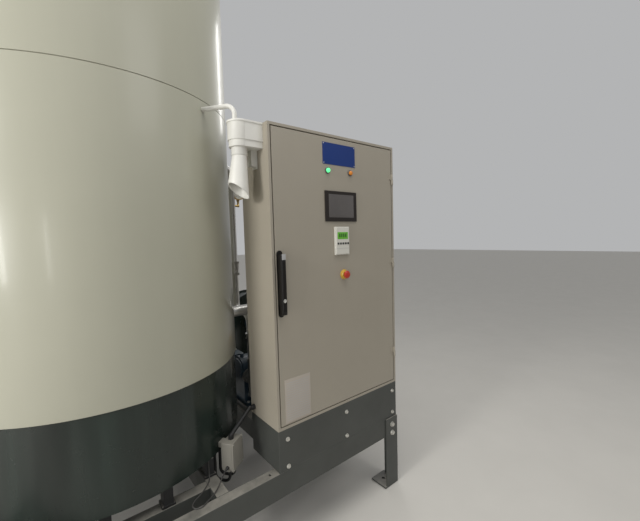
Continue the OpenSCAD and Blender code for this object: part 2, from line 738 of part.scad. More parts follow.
// Pressure gauge on a branch of the riser
gauge_z = 1750;
module gauge_stand() color("silver") place() difference() {
    translate([feed_x, feed_y, gauge_z]) {
        rotate([0, 90, 0]) cylinder(h = 44, r = 7);
        translate([44, 0, 0]) sphere(r = 9);
        translate([44, 0, 0]) cylinder(h = 40, r = 7);
        translate([44, 0, 30]) cylinder(h = 12, r = 11, $fn = 6);
        translate([44, 12, 78]) rotate([90, 0, 0]) {
            cylinder(h = 26, r = 36);
            translate([0, 0, 22]) difference() {
                cylinder(h = 8, r = 40);
                translate([0, 0, 4]) cylinder(h = 5, r = 35);
            }
        }
    }
    translate([feed_x, feed_y, gauge_z - 50]) cylinder(h = 200, r = water_r + seat);
}

// Frame round the opening: rim, return and stop frame behind the door
module cabinet_body() color("gainsboro") place() translate([0, 0, cab_z]) {
    stop_in = cab_rim - cab_wall;
    open_in = cab_rim + 25;
    difference() {
        union() {
            difference() {
                cube([cab_w, cab_d, cab_h]);
                translate([cab_wall, -1, cab_wall])
                    cube([cab_w - 2 * cab_wall, cab_d - cab_wall + 1, cab_h - 2 * cab_wall]);
            }
            difference() {
                cube([cab_w, stop_frame_y + cab_wall, cab_h]);
                translate([cab_rim, -1, cab_rim])
                    cube([cab_w - 2 * cab_rim, stop_frame_y + 1, cab_h - 2 * cab_rim]);
                translate([cab_wall, cab_wall, cab_wall]) difference() {
                    cube([cab_w - 2 * cab_wall, stop_frame_y * 2, cab_h - 2 * cab_wall]);
                    translate([cab_rim - 2 * cab_wall, -1, cab_rim - 2 * cab_wall])
                        cube([cab_w - 2 * stop_in, stop_frame_y * 2 + 2, cab_h - 2 * stop_in]);
                }
            }
        }
        translate([open_in, -1, open_in])
            cube([cab_w - 2 * open_in, stop_frame_y + cab_wall + 2, cab_h - 2 * open_in]);
    }
}

plate_y = cab_d - cab_wall - 25;
plate_margin = 45;
rail_z = [250, 560, 880, 1190];
rail_h = 35;
rail_t = 8;
module mounting_plate() color("orange") place() translate([0, 0, cab_z]) {
    translate([plate_margin, plate_y, plate_margin])
        cube([cab_w - 2 * plate_margin, 3, cab_h - 2 * plate_margin]);
    for (x = [plate_margin + 20, cab_w - plate_margin - 20])
        for (z = [plate_margin + 30, cab_h - plate_margin - 30])
            translate([x, plate_y + 3, z]) rotate([-90, 0, 0]) cylinder(h = 22, r = 8);
    for (z = rail_z) {
        translate([duct_x + duct_w + 8, plate_y - rail_t, z]) cube([rail_len, rail_t + 1, rail_h / 2 - 4]);
        translate([duct_x + duct_w + 8, plate_y - rail_t, z - 4]) cube([rail_len, 2, rail_h]);
    }
}

// Frame of wiring ducts round and between the rails
duct_w = 40;
duct_d = 60;
duct_x = plate_margin + 10;
rail_len = cab_w - 2 * duct_x - 2 * duct_w - 16;
duct_rows = [70, 395, 715, 1030, 1290];
module wiring_ducts() color("gray") place() translate([0, plate_y - duct_d, cab_z]) {
    for (x = [duct_x, cab_w - duct_x - duct_w])
        translate([x, 0, duct_rows[0]]) cube([duct_w, duct_d, duct_rows[4] + duct_w - duct_rows[0]]);
    for (z = duct_rows) translate([duct_x, 0, z]) {
        cube([cab_w - 2 * duct_x, duct_d, duct_w]);
        translate([duct_w, -3, -2]) cube([cab_w - 2 * duct_x - 2 * duct_w, 6, duct_w + 4]);
    }
}

// Row of rail devices from x, each w wide, h high and d deep, with a raised middle
device_x = duct_x + duct_w + 20;
module devices(row, x, count, w, h, d)
    for (i = [0:count - 1]) translate([x + i * (w + 1), plate_y - rail_t, rail_z[row] + rail_h / 2 - 4]) {
        translate([0, -d * 0.65, -h / 2]) cube([w, d * 0.65, h]);
        translate([0, -d, -h / 4]) cube([w, d, h / 2]);
        translate([w * 0.3, -d - 7, -4]) cube([w * 0.4, 8, 8]);
    }

module switchgear() color("dimgray") place() translate([0, 0, cab_z]) {
    devices(3, device_x, 10, 18, 84, 68);
    devices(3, device_x + 250, 3, 45, 90, 80);
    devices(3, device_x + 430, 1, 60, 120, 95);
    devices(2, device_x, 4, 45, 86, 88);
    devices(2, device_x + 230, 3, 72, 120, 96);
    devices(1, device_x, 1, 130, 120, 80);
    devices(1, device_x + 150, 5, 36, 112, 76);
    devices(0, device_x, 12, 16, 56, 44);
    devices(0, device_x + 260, 8, 22, 72, 60);
}

module cabinet_plinth() color("darkslategray") place() translate([0, 0, deck_z])
    difference() {
        cube([cab_w, cab_d, plinth_h]);
        translate([3, 3, -1]) cube([cab_w - 6, cab_d - 6, plinth_h - 2]);
        translate([60, 60, -1]) cube([cab_w - 120, cab_d - 120, plinth_h + 2]);
    }

module cabinet_door() color("gainsboro") place()
    difference() {
        translate([door_x0, 0, door_z0]) cube([door_x1 - door_x0, door_edge, door_z1 - door_z0]);
        translate([door_x0 + door_sheet, door_sheet, door_z0 + door_sheet])
            cube([door_x1 - door_x0 - 2 * door_sheet, door_edge, door_z1 - door_z0 - 2 * door_sheet]);
    }

// Hinges: the lower knuckle and the pin on the cabinet, the upper knuckle on the door
module hinge_pins() color("silver") place()
    for (z = hinge_z) translate([hinge_x, hinge_y, z]) {
        cylinder(h = knuckle_h, r = hinge_r);
        cylinder(h = 2 * knuckle_h + 4, r = hinge_pin_r);
        translate([0, -2, 0]) cube([8, 2 - hinge_y, knuckle_h]);
        translate([door_gap / 2 + 1, -hinge_y - 2.5, 0]) cube([cab_rim - 2, 2.5, knuckle_h]);
    }

module hinge_knuckles() color("silver") place()
    for (z = hinge_z) translate([hinge_x, hinge_y, z + knuckle_h + seat])
        difference() {
            union() {
                cylinder(h = knuckle_h - seat, r = hinge_r);
                translate([-8, -2, 0]) cube([8, 2 - hinge_y, knuckle_h - seat]);
                translate([-24, -hinge_y - 2.5, 0]) cube([20, 2.5, knuckle_h - seat]);
            }
            translate([0, 0, -1]) cylinder(h = knuckle_h + 2, r = hinge_pin_r + run_gap);
        }

// Swing handle: base on the door, turning hub, lever that lifts at its lower end
hub_r = 10;
lug_w = 12;
base_t = 4;
base_w = 15;
hub_top = lever_out - lever_head_r - 1;
module handle_base() color("black") place()
    translate([handle_x, 0, handle_z]) rotate([90, 0, 0]) difference() {
        union() {
            translate([-base_w, -lever_len + 3, 0]) cube([2 * base_w, lever_len + 12, base_t]);
            for (z = [-lever_len + 3, 15]) translate([0, z, 0]) cylinder(h = base_t, r = base_w);
        }
        translate([0, 0, -1]) cylinder(h = base_t + 2, r = hub_r + run_gap);
    }

module handle_hub() color("dimgray") place()
    translate([handle_x, 0, handle_z]) {
        rotate([90, 0, 0]) translate([0, 0, seat]) cylinder(h = hub_top - seat, r = hub_r);
        translate([-lug_w / 2, -lever_out, -6]) cube([lug_w, lever_out - hub_top + 1, 12]);
        translate([-lug_w / 2, -lever_out, 0]) rotate([0, 90, 0]) cylinder(h = lug_w, r = 6);
        translate([-lever_w / 2 + 2, -lever_out, 0]) rotate([0, 90, 0])
            cylinder(h = lever_w - 4, r = lever_pin_r);
    }

module lever_side() {
    circle(r = lever_head_r);
    polygon([
        [-lever_head_r, 0], [-lever_head_r - lever_bulge, -20],
        [-lever_head_r - lever_bulge + 1, -lever_len + 60], [-lever_head_r - 1, -lever_len + 18],
        [-lever_head_r + 4, -lever_len + 3], [-lever_head_r + 9, -lever_len],
        [lever_head_r - 8, -lever_len], [lever_head_r - 4, -lever_len + 6],
        [lever_head_r - 5, -lever_len + 34],
        [lever_head_r, -lever_len + 52], [lever_head_r, 0]
    ]);
}

// Outline of the lever seen along its length: its front edges are chamfered
module lever_section() polygon([
    [-lever_w / 2, lever_head_r + 1], [lever_w / 2, lever_head_r + 1], [lever_w / 2, -lever_head_r + 7],
    [lever_w / 2 - 2, -lever_head_r + 1], [lever_w / 2 - 7, -lever_head_r - lever_bulge],
    [-lever_w / 2 + 7, -lever_head_r - lever_bulge], [-lever_w / 2 + 2, -lever_head_r + 1],
    [-lever_w / 2, -lever_head_r + 7]
]);

module handle_lever() color("black") place()
    translate([handle_x, -lever_out, handle_z]) difference() {
        intersection() {
            translate([-lever_w / 2, 0, 0]) rotate([90, 0, 90]) linear_extrude(lever_w) lever_side();
            translate([0, 0, -lever_len - 1]) linear_extrude(lever_len + 40) lever_section();
        }
        translate([-lug_w / 2 - 0.5, -8, -20]) cube([lug_w + 1, 40, 60]);
        translate([-lever_w / 2 + 2 - seat, 0, 0]) rotate([0, 90, 0])
            cylinder(h = lever_w - 4 + 2 * seat, r = lever_pin_r + run_gap);
        translate([0, -lever_head_r - 2, lock_z]) rotate([90, 0, 0]) cylinder(h = 10, r = 8);
    }

lock_z = -195;

module name_plate() color("midnightblue") place()
    translate([plate_x, -2, plate_z]) cube([plate_w, 2, plate_h]);

module pilot_lamp(x, tint) color(tint) place()
    translate([x, 0, lamp_z]) rotate([90, 0, 0]) rotate_extrude() polygon([
        [0, 0], [lamp_r, 0], [lamp_r, 3], [lamp_r - 2, 5], [lamp_r - 4, 5], [lamp_r - 4, 8], [lamp_r - 5, 12],
        [lamp_r * 0.5, 14.5], [lamp_r * 0.2, 15.5], [0, 16]
    ]);

module pilot_lamp_green() pilot_lamp(lamp_x[0], "lime");

module pilot_lamp_orange() pilot_lamp(lamp_x[1], "orange");

screen_in = [21, 19, 15];
module touch_panel() color("dimgray") place()
    translate([touch_x, -7, touch_z]) difference() {
        cube([touch_w, 7, touch_h]);
        translate([screen_in[0], -1, screen_in[1]])
            cube([touch_w - 2 * screen_in[0], 2, touch_h - screen_in[1] - screen_in[2]]);
    }

control_t = 15;
module controller() color("white") place()
    translate([control_x, -control_t, control_z]) difference() {
        union() {
            translate([0, 4, 0]) cube([control_w, control_t - 4, control_h]);
            translate([4, 0, 4]) cube([control_w - 8, 5, control_h - 8]);
        }
        translate([control_w * 0.22, -1, control_h * 0.56]) cube([control_w * 0.62, 3, control_h * 0.22]);
    }

stop_stem_r = 8;
module stop_collar() color("gold") place()
    translate([stop_x, 0, stop_z]) rotate([90, 0, 0]) rotate_extrude() polygon([
        [stop_stem_r + run_gap, 0], [stop_r + 6, 0], [stop_r + 6, 2], [stop_r, 6], [stop_r - 3, 12],
        [stop_stem_r + run_gap, 12]
    ]);

module stop_button() color("red") place()
    translate([stop_x, 0, stop_z]) rotate([90, 0, 0]) rotate_extrude() polygon([
        [0, stop_travel + 1], [stop_stem_r, stop_travel + 1], [stop_stem_r, 13 + stop_travel],
        [stop_r - 4, 13 + stop_travel], [stop_r, 17 + stop_travel], [stop_r, 20 + stop_travel],
        [stop_r - 3, 24 + stop_travel], [stop_r - 9, 26 + stop_travel], [0, 27 + stop_travel]
    ]);

// Hood beside the cabinet: lid, body, lower rim, neck and the bracket under it
hood_x = 70;
hood_y = 92;
hood_r = 55;
hood_h = 110;
hood_z = cab_top - hood_h;
hood_cx = -hood_x - 15;
neck_x = -90;
module hood_part(less, low, high) translate([0, 0, low]) {
    translate([hood_cx, 0, 0]) cylinder(h = high - low, r = hood_r - less);
    translate([hood_cx, less - hood_r, 0]) cube([-hood_cx, 2 * (hood_r - less), high - low]);
}
module vent_hood() color("white") place() translate([0, hood_y, hood_z]) {
    hood_part(0, hood_h - 8, hood_h);
    hood_part(3, 28, hood_h - 7);
    hood_part(7, 0, 29);
    translate([neck_x, 0, -34]) cylinder(h = 36, r = 34);
    translate([-28, hood_r - 46, -70]) cube([28, 34, 72]);
    translate([-3, hood_r - 50, -80]) cube([3, 42, 84]);
}

spout_h = 195;
module vent_spout() color("white") place() translate([neck_x, hood_y, hood_z - 34])
    difference() {
        rotate([0, 5, 0]) translate([0, 0, -spout_h]) difference() {
            cylinder(h = spout_h + 5, r1 = 51, r2 = 31);
            translate([0, 0, -1]) cylinder(h = spout_h + 7, r1 = 48, r2 = 28);
        }
        translate([-200, -100, 0]) cube([400, 200, 100]);
        translate([0, 0, -161]) rotate([0, 37, 0]) translate([-200, -100, -200]) cube([400, 200, 200]);
    }

hood_pipe_x = -105;
hood_pipe_turn = 125;
module vent_pipe() color("white") place()
    difference() {
        translate([hood_pipe_x, hood_y, 0]) rotate(hood_pipe_turn)
            pipe_run([[0, 0, hood_z + 110], [0, 0, 2105], [300, 0, 2105]], 40, 10);
        drum_space();
    }

box_a = -54;
module junction_frame() translate([drum_x, drum_y, 0]) rotate(box_a) children();

// Box beside the windbox on a bracket, its lid and glands; conduit to the cabinet, cable to the windbox
box_r0 = casing_r + 25;
box_z = windbox_z - 70;
box_h = 130;
module junction_box() color("silver") place() {
    junction_frame() {
        translate([box_r0, -45, box_z]) cube([54, 90, box_h]);
        translate([box_r0 + 54, -48, box_z - 3]) cube([8, 96, box_h + 6]);
        for (y = [-24, 20]) translate([box_r0 + 27, y, box_z - 16]) cylinder(h = 17, r = 11, $fn = 6);
        difference() {
            translate([windbox_r - 10, -20, windbox_z + 20]) cube([box_r0 - windbox_r + 12, 40, 26]);
            translate([0, 0, windbox_z]) cylinder(h = 60, r = windbox_r + seat, $fn = 96);
        }
    }
}

cable_r = 7;
conduit_r = 10;
conduit_from = [drum_x + (box_r0 + 27) * cos(box_a), drum_y + (box_r0 + 27) * sin(box_a), box_z + box_h];
conduit_to = [-conduit_r - 4, 225, cab_z + 40];
module junction_cable() color("dimgray") place() {
    junction_frame() for (y = [-24, 20])
        pipe_run([
            [box_r0 + 27, y, box_z - 16], [box_r0 + 27, y, box_z - 66], [windbox_r - 20, y, box_z - 66],
            [windbox_r - 20, y, windbox_z - seat]
        ], 28, cable_r);
    d = (conduit_to - conduit_from) / norm(conduit_to - conduit_from);
    translate(conduit_from) cylinder(h = 16, r = conduit_r + 4, $fn = 6);
    translate(conduit_from + [0, 0, 16]) sphere(r = conduit_r);
    along(conduit_from + [0, 0, 16], d) cylinder(h = norm(conduit_to - conduit_from) - 14, r = conduit_r);
    translate(conduit_to) sphere(r = conduit_r);
    translate([0, conduit_to[1], conduit_to[2]]) rotate([0, -90, 0])
        cylinder(h = conduit_r + 4, r = conduit_r + 3);
}

skid_beam_front();
skid_beam_rear();
skid_inner_beams();
skid_cross_members();
skid_legs();
frame_bolts();
drum_feet();
windbox_shell();
windbox_floor();
heating_coil();
casing_lower();
casing_upper();
casing_top();
flue_collar();
lifting_lugs();
gas_inlet();
blower_housing();
blower_inlet();
blower_motor();
air_duct();
pump_base();
feed_pump();
pump_heads();
pump_motor();
belt_guard();
feed_pipe();
separator_vessel();
separator_legs();
coil_pipe();
steam_pipe();
steam_valve();
safety_valve();
gauge_stand();
cabinet_body();
mounting_plate();
wiring_ducts();
switchgear();
cabinet_plinth();
cabinet_door();
hinge_pins();
hinge_knuckles();
handle_base();
handle_hub();
handle_lever();
name_plate();
pilot_lamp_green();
pilot_lamp_orange();
touch_panel();
controller();
stop_collar();
stop_button();
vent_hood();
vent_spout();
vent_pipe();
junction_box();
junction_cable();
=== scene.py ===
import json
import math
import bpy
import bmesh
from mathutils import Matrix, Vector


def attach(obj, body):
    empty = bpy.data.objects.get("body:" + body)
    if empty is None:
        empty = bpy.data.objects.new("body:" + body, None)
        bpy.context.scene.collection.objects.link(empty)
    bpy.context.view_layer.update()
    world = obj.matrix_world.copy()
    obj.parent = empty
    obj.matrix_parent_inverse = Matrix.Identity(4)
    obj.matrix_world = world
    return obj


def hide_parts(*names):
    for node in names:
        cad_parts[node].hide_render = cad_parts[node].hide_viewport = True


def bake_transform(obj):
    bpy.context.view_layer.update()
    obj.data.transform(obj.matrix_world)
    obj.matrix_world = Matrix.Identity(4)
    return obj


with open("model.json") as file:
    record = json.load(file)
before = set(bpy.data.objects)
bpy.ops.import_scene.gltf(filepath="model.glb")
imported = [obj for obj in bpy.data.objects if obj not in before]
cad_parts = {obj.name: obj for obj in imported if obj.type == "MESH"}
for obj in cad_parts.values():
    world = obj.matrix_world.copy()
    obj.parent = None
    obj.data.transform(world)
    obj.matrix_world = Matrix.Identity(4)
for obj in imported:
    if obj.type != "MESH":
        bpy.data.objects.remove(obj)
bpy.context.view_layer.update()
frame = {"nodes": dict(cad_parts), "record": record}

NODES = frame["nodes"]
scene = bpy.context.scene

# Places and sizes of the part's solids, in site millimetres. The site's origin is the cabinet's front left
# corner, on the floor, and the part's own origin lies below the middle of the whole.
MM = 1000
PART_X, PART_Y = -195.0, 716.0
DECK_Z, FOOT_T = 435, 10
DRUM_X, DRUM_Y = -560.0, 760.0
CASING_R, CASING_WALL, WINDBOX_R, WINDBOX_WALL = 650, 4, 644, 6
WINDBOX_Z, CASING_Z, SEAM_Z, COVER_Z = 520, 912, 2143, 2880
LAP = 40
CABINET_W, CABINET_D, CABINET_TOP = 840, 260, 2035
LAMPS, LAMP_Z = (("green", 336), ("orange", 490)), 1855
PLATE_X, PLATE_Z, PLATE_W, PLATE_H = 307, 1886, 220, 106
TOUCH_X, TOUCH_Z, TOUCH_W, TOUCH_H = 313, 1603, 215, 152
CONTROL_X, CONTROL_Z = 369, 1432
STOP_X, STOP_Z = 432, 1328
HANDLE_X, HANDLE_Z = 38, 1440
SEPARATOR_X, SEPARATOR_Y = 650, 490
STEAM_JOINT, FEED_JOINT = (650, 700, 2030), (119, 830, 2000)
BLOWER_X, BLOWER_Y, BLOWER_Z = 580, 1345, 830
SCROLL_R, SCROLL_GROW, SCROLL_HALF, SCROLL_RIM = 200, 80, 80, 16
AIR_DUCT = (260, 1345, 650)
CRANK_Y, CRANK_Z, MOTOR_Y, MOTOR_Z = 770, 674, 1025, 565
GUARD_BACK, GUARD_FACE = 372, 438
DIAL = (249, 816, 1828)
UP, TO_RIGHT, TO_FRONT, TO_BACK = (0, 0, 1), (1, 0, 0), (0, -1, 0), (0, 1, 0)


def at(x, y, z):
    """Site millimetres to the part's metres."""
    return Vector(((x - PART_X) / MM, (y - PART_Y) / MM, z / MM))


# Camera, as fitted to the photograph
YAW, PITCH, ROLL = -0.6777, 0.067, -0.0284
EYE = (-783.27, -1312.33, 1523.38)
FOCAL_PIXELS, PHOTO_PIXELS, SENSOR, CLIP_END = 341.98, 640, 36.0, 100


def camera_turn():
    """Rotation from the site's axes to the camera's right, down and forward."""
    cy, sy, cp, sp, cr, sr = (f(a) for a in (YAW, PITCH, ROLL) for f in (math.cos, math.sin))
    roll = Matrix(((cr, -sr, 0), (sr, cr, 0), (0, 0, 1)))
    pitch = Matrix(((1, 0, 0), (0, cp, -sp), (0, sp, cp)))
    level = Matrix(((1, 0, 0), (0, 0, -1), (0, 1, 0)))
    yaw = Matrix(((cy, sy, 0), (-sy, cy, 0), (0, 0, 1)))
    return roll @ pitch @ level @ yaw


cam_data = bpy.data.cameras.new("camera")
cam_data.sensor_width = SENSOR
cam_data.lens = FOCAL_PIXELS / PHOTO_PIXELS * SENSOR
cam_data.clip_end = CLIP_END
camera = bpy.data.objects.new("camera", cam_data)
scene.collection.objects.link(camera)
right, down, forward = camera_turn()
camera.matrix_world = Matrix.Translation(at(*EYE)) @ Matrix((right, -down, -forward)).transposed().to_4x4()
scene.camera = camera


# Materials: the part of its noise that each pattern takes, how fine that is, and how dark the pattern gets.
# Depths are in metres.
CLOUD = (0.3, 0.7)
STREAK, STREAK_SCALE, STREAK_TONE = (0.45, 0.75), 14.0, 0.72
SPECK, SPECK_SCALE, SPECK_TONE = (0.68, 0.76), 140.0, 0.45
DUST_PATCH, DUST_SCALE, DUST_TINT = (0.35, 0.65), 9.0, (0.42, 0.39, 0.34)
FACES_UP = (0.5, 1.0)
GLOSS_FINER = 3.1
GRAIN_DEPTH = 0.0006
COAT_ROUGHNESS = 0.12


def new_material(name):
    m = bpy.data.materials.new(name)
    m.use_nodes = True
    t = m.node_tree
    t.nodes.clear()
    out = t.nodes.new("ShaderNodeOutputMaterial")
    bsdf = t.nodes.new("ShaderNodeBsdfPrincipled")
    t.links.new(bsdf.outputs[0], out.inputs[0])
    return m, t, bsdf


def noise(t, coord, scale, detail, rough, stretch=None):
    if stretch:
        mapping = t.nodes.new("ShaderNodeMapping")
        mapping.inputs["Scale"].default_value = stretch
        t.links.new(coord, mapping.inputs[0])
        coord = mapping.outputs[0]
    n = t.nodes.new("ShaderNodeTexNoise")
    n.inputs["Scale"].default_value = scale
    n.inputs["Detail"].default_value = detail
    n.inputs["Roughness"].default_value = rough
    t.links.new(coord, n.inputs["Vector"])
    return n.outputs[0]


def remap(t, value, span, to_span):
    n = t.nodes.new("ShaderNodeMapRange")
    for i, v in enumerate((*span, *to_span)):
        n.inputs[i + 1].default_value = v
    t.links.new(value, n.inputs[0])
    return n.outputs[0]


def mix(t, factor, a, b):
    n = t.nodes.new("ShaderNodeMix")
    n.data_type = "RGBA"
    t.links.new(factor, n.inputs[0])
    for i, c in ((6, a), (7, b)):
        if isinstance(c, tuple):
            n.inputs[i].default_value = (*c, 1)
        else:
            t.links.new(c, n.inputs[i])
    return n.outputs[2]


def product(t, a, b):
    n = t.nodes.new("ShaderNodeMath")
    n.operation = "MULTIPLY"
    n.use_clamp = True
    t.links.new(a, n.inputs[0])
    t.links.new(b, n.inputs[1])
    return n.outputs[0]


def bump_of(t, height, strength, depth, under=None):
    """Bump from a height, on top of another bump where one is given."""
    n = t.nodes.new("ShaderNodeBump")
    n.inputs["Strength"].default_value = strength
    n.inputs["Distance"].default_value = depth
    t.links.new(height, n.inputs["Height"])
    if under:
        t.links.new(under, n.inputs["Normal"])
    return n.outputs[0]


def tone(c, k):
    return tuple(min(1.0, v * k) for v in c)


def surface(name, base, rough, metal=0.0, vary=0.08, vary_scale=2.5, rough_vary=0.08, stretch=None,
            streak=0.0, specks=0.0, dust=0.0, grain=0.0, grain_scale=600.0, ripple=0.0, ripple_scale=2.2,
            coat=0.0, shine=0.5, emit=0.0):
    """Procedural finish: cloudy colour, upright streaks, specks, dust on what faces up, uneven gloss,
    fine grain and long ripples."""
    m, t, bsdf = new_material(name)
    co = t.nodes.new("ShaderNodeTexCoord").outputs["Object"]
    cloud = noise(t, co, vary_scale, 5.0, 0.6, stretch)
    colour = mix(t, remap(t, cloud, CLOUD, (0.0, 1.0)), tone(base, 1 - vary), tone(base, 1 + vary))
    if streak:
        run = noise(t, co, STREAK_SCALE, 3.0, 0.6, (1.0, 1.0, 0.06))
        colour = mix(t, remap(t, run, STREAK, (0.0, streak)), colour, tone(base, STREAK_TONE))
    if specks:
        dot = noise(t, co, SPECK_SCALE, 2.0, 0.5)
        colour = mix(t, remap(t, dot, SPECK, (0.0, specks)), colour, tone(base, SPECK_TONE))
    if dust:
        split = t.nodes.new("ShaderNodeSeparateXYZ")
        t.links.new(t.nodes.new("ShaderNodeNewGeometry").outputs["Normal"], split.inputs[0])
        up = remap(t, split.outputs[2], FACES_UP, (0.0, dust))
        patch = remap(t, noise(t, co, DUST_SCALE, 6.0, 0.65), DUST_PATCH, (0.35, 1.0))
        colour = mix(t, product(t, up, patch), colour, DUST_TINT)
    t.links.new(colour, bsdf.inputs["Base Color"])
    gloss = noise(t, co, vary_scale * GLOSS_FINER, 4.0, 0.6)
    gloss_span = (max(0.02, rough - rough_vary), min(1.0, rough + rough_vary))
    t.links.new(remap(t, gloss, CLOUD, gloss_span), bsdf.inputs["Roughness"])
    bsdf.inputs["Metallic"].default_value = metal
    bsdf.inputs["Specular IOR Level"].default_value = shine
    if coat:
        bsdf.inputs["Coat Weight"].default_value = coat
        bsdf.inputs["Coat Roughness"].default_value = COAT_ROUGHNESS
    if emit:
        t.links.new(colour, bsdf.inputs["Emission Color"])
        bsdf.inputs["Emission Strength"].default_value = emit
    normal = None
    if ripple:
        normal = bump_of(t, noise(t, co, ripple_scale, 1.5, 0.4, (1.0, 1.0, 0.22)), 1.0, ripple)
    if grain:
        normal = bump_of(t, noise(t, co, grain_scale, 3.0, 0.5), grain, GRAIN_DEPTH, normal)
    if normal:
        t.links.new(normal, bsdf.inputs["Normal"])
    return m


# Each finish as base colour, roughness and what departs from surface()'s usual. The first ones have the names
# of the record's slots, and those from screen_glass on are for small pieces that differ from their slot.
FINISHES = {
    "frame_paint": ((0.051, 0.054, 0.049), 0.45, dict(grain=0.25, vary=0.16, dust=0.55, specks=0.25)),
    # The windbox's strong colour cloud, stretched upright, and its upright streaks are painted sheen: light
    # and dark upright bands in its colour stand in for streaky reflections
    "windbox_paint": ((0.013, 0.021, 0.017), 0.26, dict(
        grain=0.05, grain_scale=200.0, vary=0.45, vary_scale=6.0, stretch=(1.0, 1.0, 0.08), streak=0.5,
        rough_vary=0.02, ripple=0.06, ripple_scale=4.6, specks=0.1)),
    "casing_paint": ((0.43, 0.423, 0.340), 0.33, dict(
        grain=0.04, grain_scale=160.0, vary=0.03, vary_scale=1.2, streak=0.06, rough_vary=0.015, coat=0.2,
        ripple=0.008, ripple_scale=1.3)),
    "bolt_steel": ((0.62, 0.61, 0.57), 0.35, dict(metal=0.9, grain=0.2)),
    "foot_black": ((0.012, 0.012, 0.012), 0.6, dict(grain=0.3, dust=0.3)),
    "pipe_steel": ((0.62, 0.61, 0.58), 0.32, dict(metal=0.85, grain=0.1, streak=0.12, vary=0.06)),
    "machine_paint": ((0.040, 0.070, 0.100), 0.38, dict(grain=0.3, dust=0.35, vary=0.12)),
    "guard_paint": ((0.62, 0.36, 0.03), 0.38, dict(grain=0.3, dust=0.2, vary=0.08)),
    "cast_grey": ((0.22, 0.22, 0.21), 0.5, dict(metal=0.6, grain=0.6, grain_scale=260.0, dust=0.2)),
    "brass": ((0.60, 0.42, 0.16), 0.34, dict(metal=0.95, grain=0.15, vary=0.12)),
    "cabinet_paint": ((0.312, 0.281, 0.228), 0.42, dict(
        grain=0.55, grain_scale=900.0, vary=0.03, vary_scale=1.6, streak=0.05)),
    "galvanised": ((0.55, 0.56, 0.56), 0.4, dict(metal=0.85, vary=0.2, vary_scale=26.0, grain=0.1)),
    "black_plastic": ((0.008, 0.007, 0.006), 0.32, dict(grain=0.3, shine=0.25)),
    "plate_blue": ((0.004, 0.028, 0.160), 0.36, dict(vary=0.05, grain=0.05, shine=0.3)),
    "lamp_green": ((0.10, 0.74, 0.26), 0.2, dict(emit=1.1, vary=0.1, vary_scale=60.0)),
    "lamp_orange": ((0.60, 0.20, 0.02), 0.18, dict(vary=0.15, vary_scale=60.0, emit=0.06)),
    "panel_dark": ((0.018, 0.014, 0.012), 0.38, dict(grain=0.25, dust=0.2, shine=0.25)),
    "white_plastic": ((0.58, 0.565, 0.51), 0.38, dict(grain=0.15, vary=0.03)),
    "stop_yellow": ((0.52, 0.32, 0.035), 0.3, dict(grain=0.1)),
    "stop_red": ((0.40, 0.024, 0.009), 0.3, dict(grain=0.05)),
    "box_grey": ((0.66, 0.65, 0.61), 0.4, dict(grain=0.2, dust=0.15)),
    "cable_black": ((0.014, 0.014, 0.014), 0.5, dict(grain=0.3)),
    "duct_grey": ((0.30, 0.31, 0.31), 0.45, dict(grain=0.2)),
    "device_grey": ((0.08, 0.08, 0.085), 0.4, dict(grain=0.2)),
    "coil_steel": ((0.15, 0.11, 0.085), 0.5, dict(metal=0.8, grain=0.4, vary=0.3)),
    "screen_glass": ((0.075, 0.066, 0.062), 0.16, dict(vary=0.12, vary_scale=6.0, coat=0.6)),
    "lcd_green": ((0.08, 0.27, 0.02), 0.3, dict(emit=0.32, vary=0.1, vary_scale=40.0)),
    "lcd_segments": ((0.02, 0.10, 0.01), 0.35, dict(vary=0.1)),
    "paper_sheet": ((0.40, 0.355, 0.305), 0.5, dict(vary=0.03, vary_scale=8.0, grain=0.1)),
    "door_seal": ((0.014, 0.014, 0.014), 0.7, dict(grain=0.3)),
    "cable_grey": ((0.05, 0.048, 0.045), 0.45, dict(grain=0.2)),
    "lamp_ring": ((0.10, 0.10, 0.095), 0.3, dict(metal=0.5, grain=0.1)),
    "light_grey_trim": ((0.38, 0.38, 0.38), 0.4, dict(grain=0.2)),
    "box_plastic": ((0.25, 0.237, 0.205), 0.5, dict(grain=0.2, dust=0.15)),
    "wire_blue": ((0.018, 0.05, 0.16), 0.35, dict(vary=0.1, vary_scale=20.0)),
    "wire_orange": ((0.62, 0.20, 0.03), 0.35, dict(vary=0.1, vary_scale=20.0)),
    "wire_green_yellow": ((0.22, 0.42, 0.03), 0.35, dict(vary=0.5, vary_scale=90.0)),
    "copper_bar": ((0.72, 0.36, 0.20), 0.28, dict(metal=0.95, vary=0.1, vary_scale=12.0)),
}
MATS = {name: surface(name, base, rough, **more) for name, (base, rough, more) in FINISHES.items()}

# Solids whose finish isn't their slot's own, and how wide each slot's edges are rounded, in millimetres
NODE_FINISH = {"hinge_pins": "cabinet_paint", "hinge_knuckles": "cabinet_paint",
               "junction_box": "box_plastic"}
EDGE = {
    "frame_paint": 2.2, "windbox_paint": 2, "machine_paint": 3.5, "guard_paint": 3, "cast_grey": 2,
    "cabinet_paint": 1.2, "galvanised": 0.6, "black_plastic": 1.6, "white_plastic": 1.4, "panel_dark": 1.2,
    "box_grey": 2.5, "duct_grey": 1, "device_grey": 1.2, "pipe_steel": 1.5, "bolt_steel": 0.8,
    "foot_black": 2, "brass": 0.8, "plate_blue": 0.6,
}
EDGE_ANGLE = math.radians(38)
WELD = 0.02


def round_edges(obj, width):
    weld = obj.modifiers.new("weld", "WELD")
    weld.merge_threshold = WELD / MM
    bevel = obj.modifiers.new("bevel", "BEVEL")
    bevel.width = width / MM
    bevel.segments = 2
    bevel.limit_method = "ANGLE"
    bevel.angle_limit = EDGE_ANGLE
    bevel.use_clamp_overlap = True
    bevel.harden_normals = True


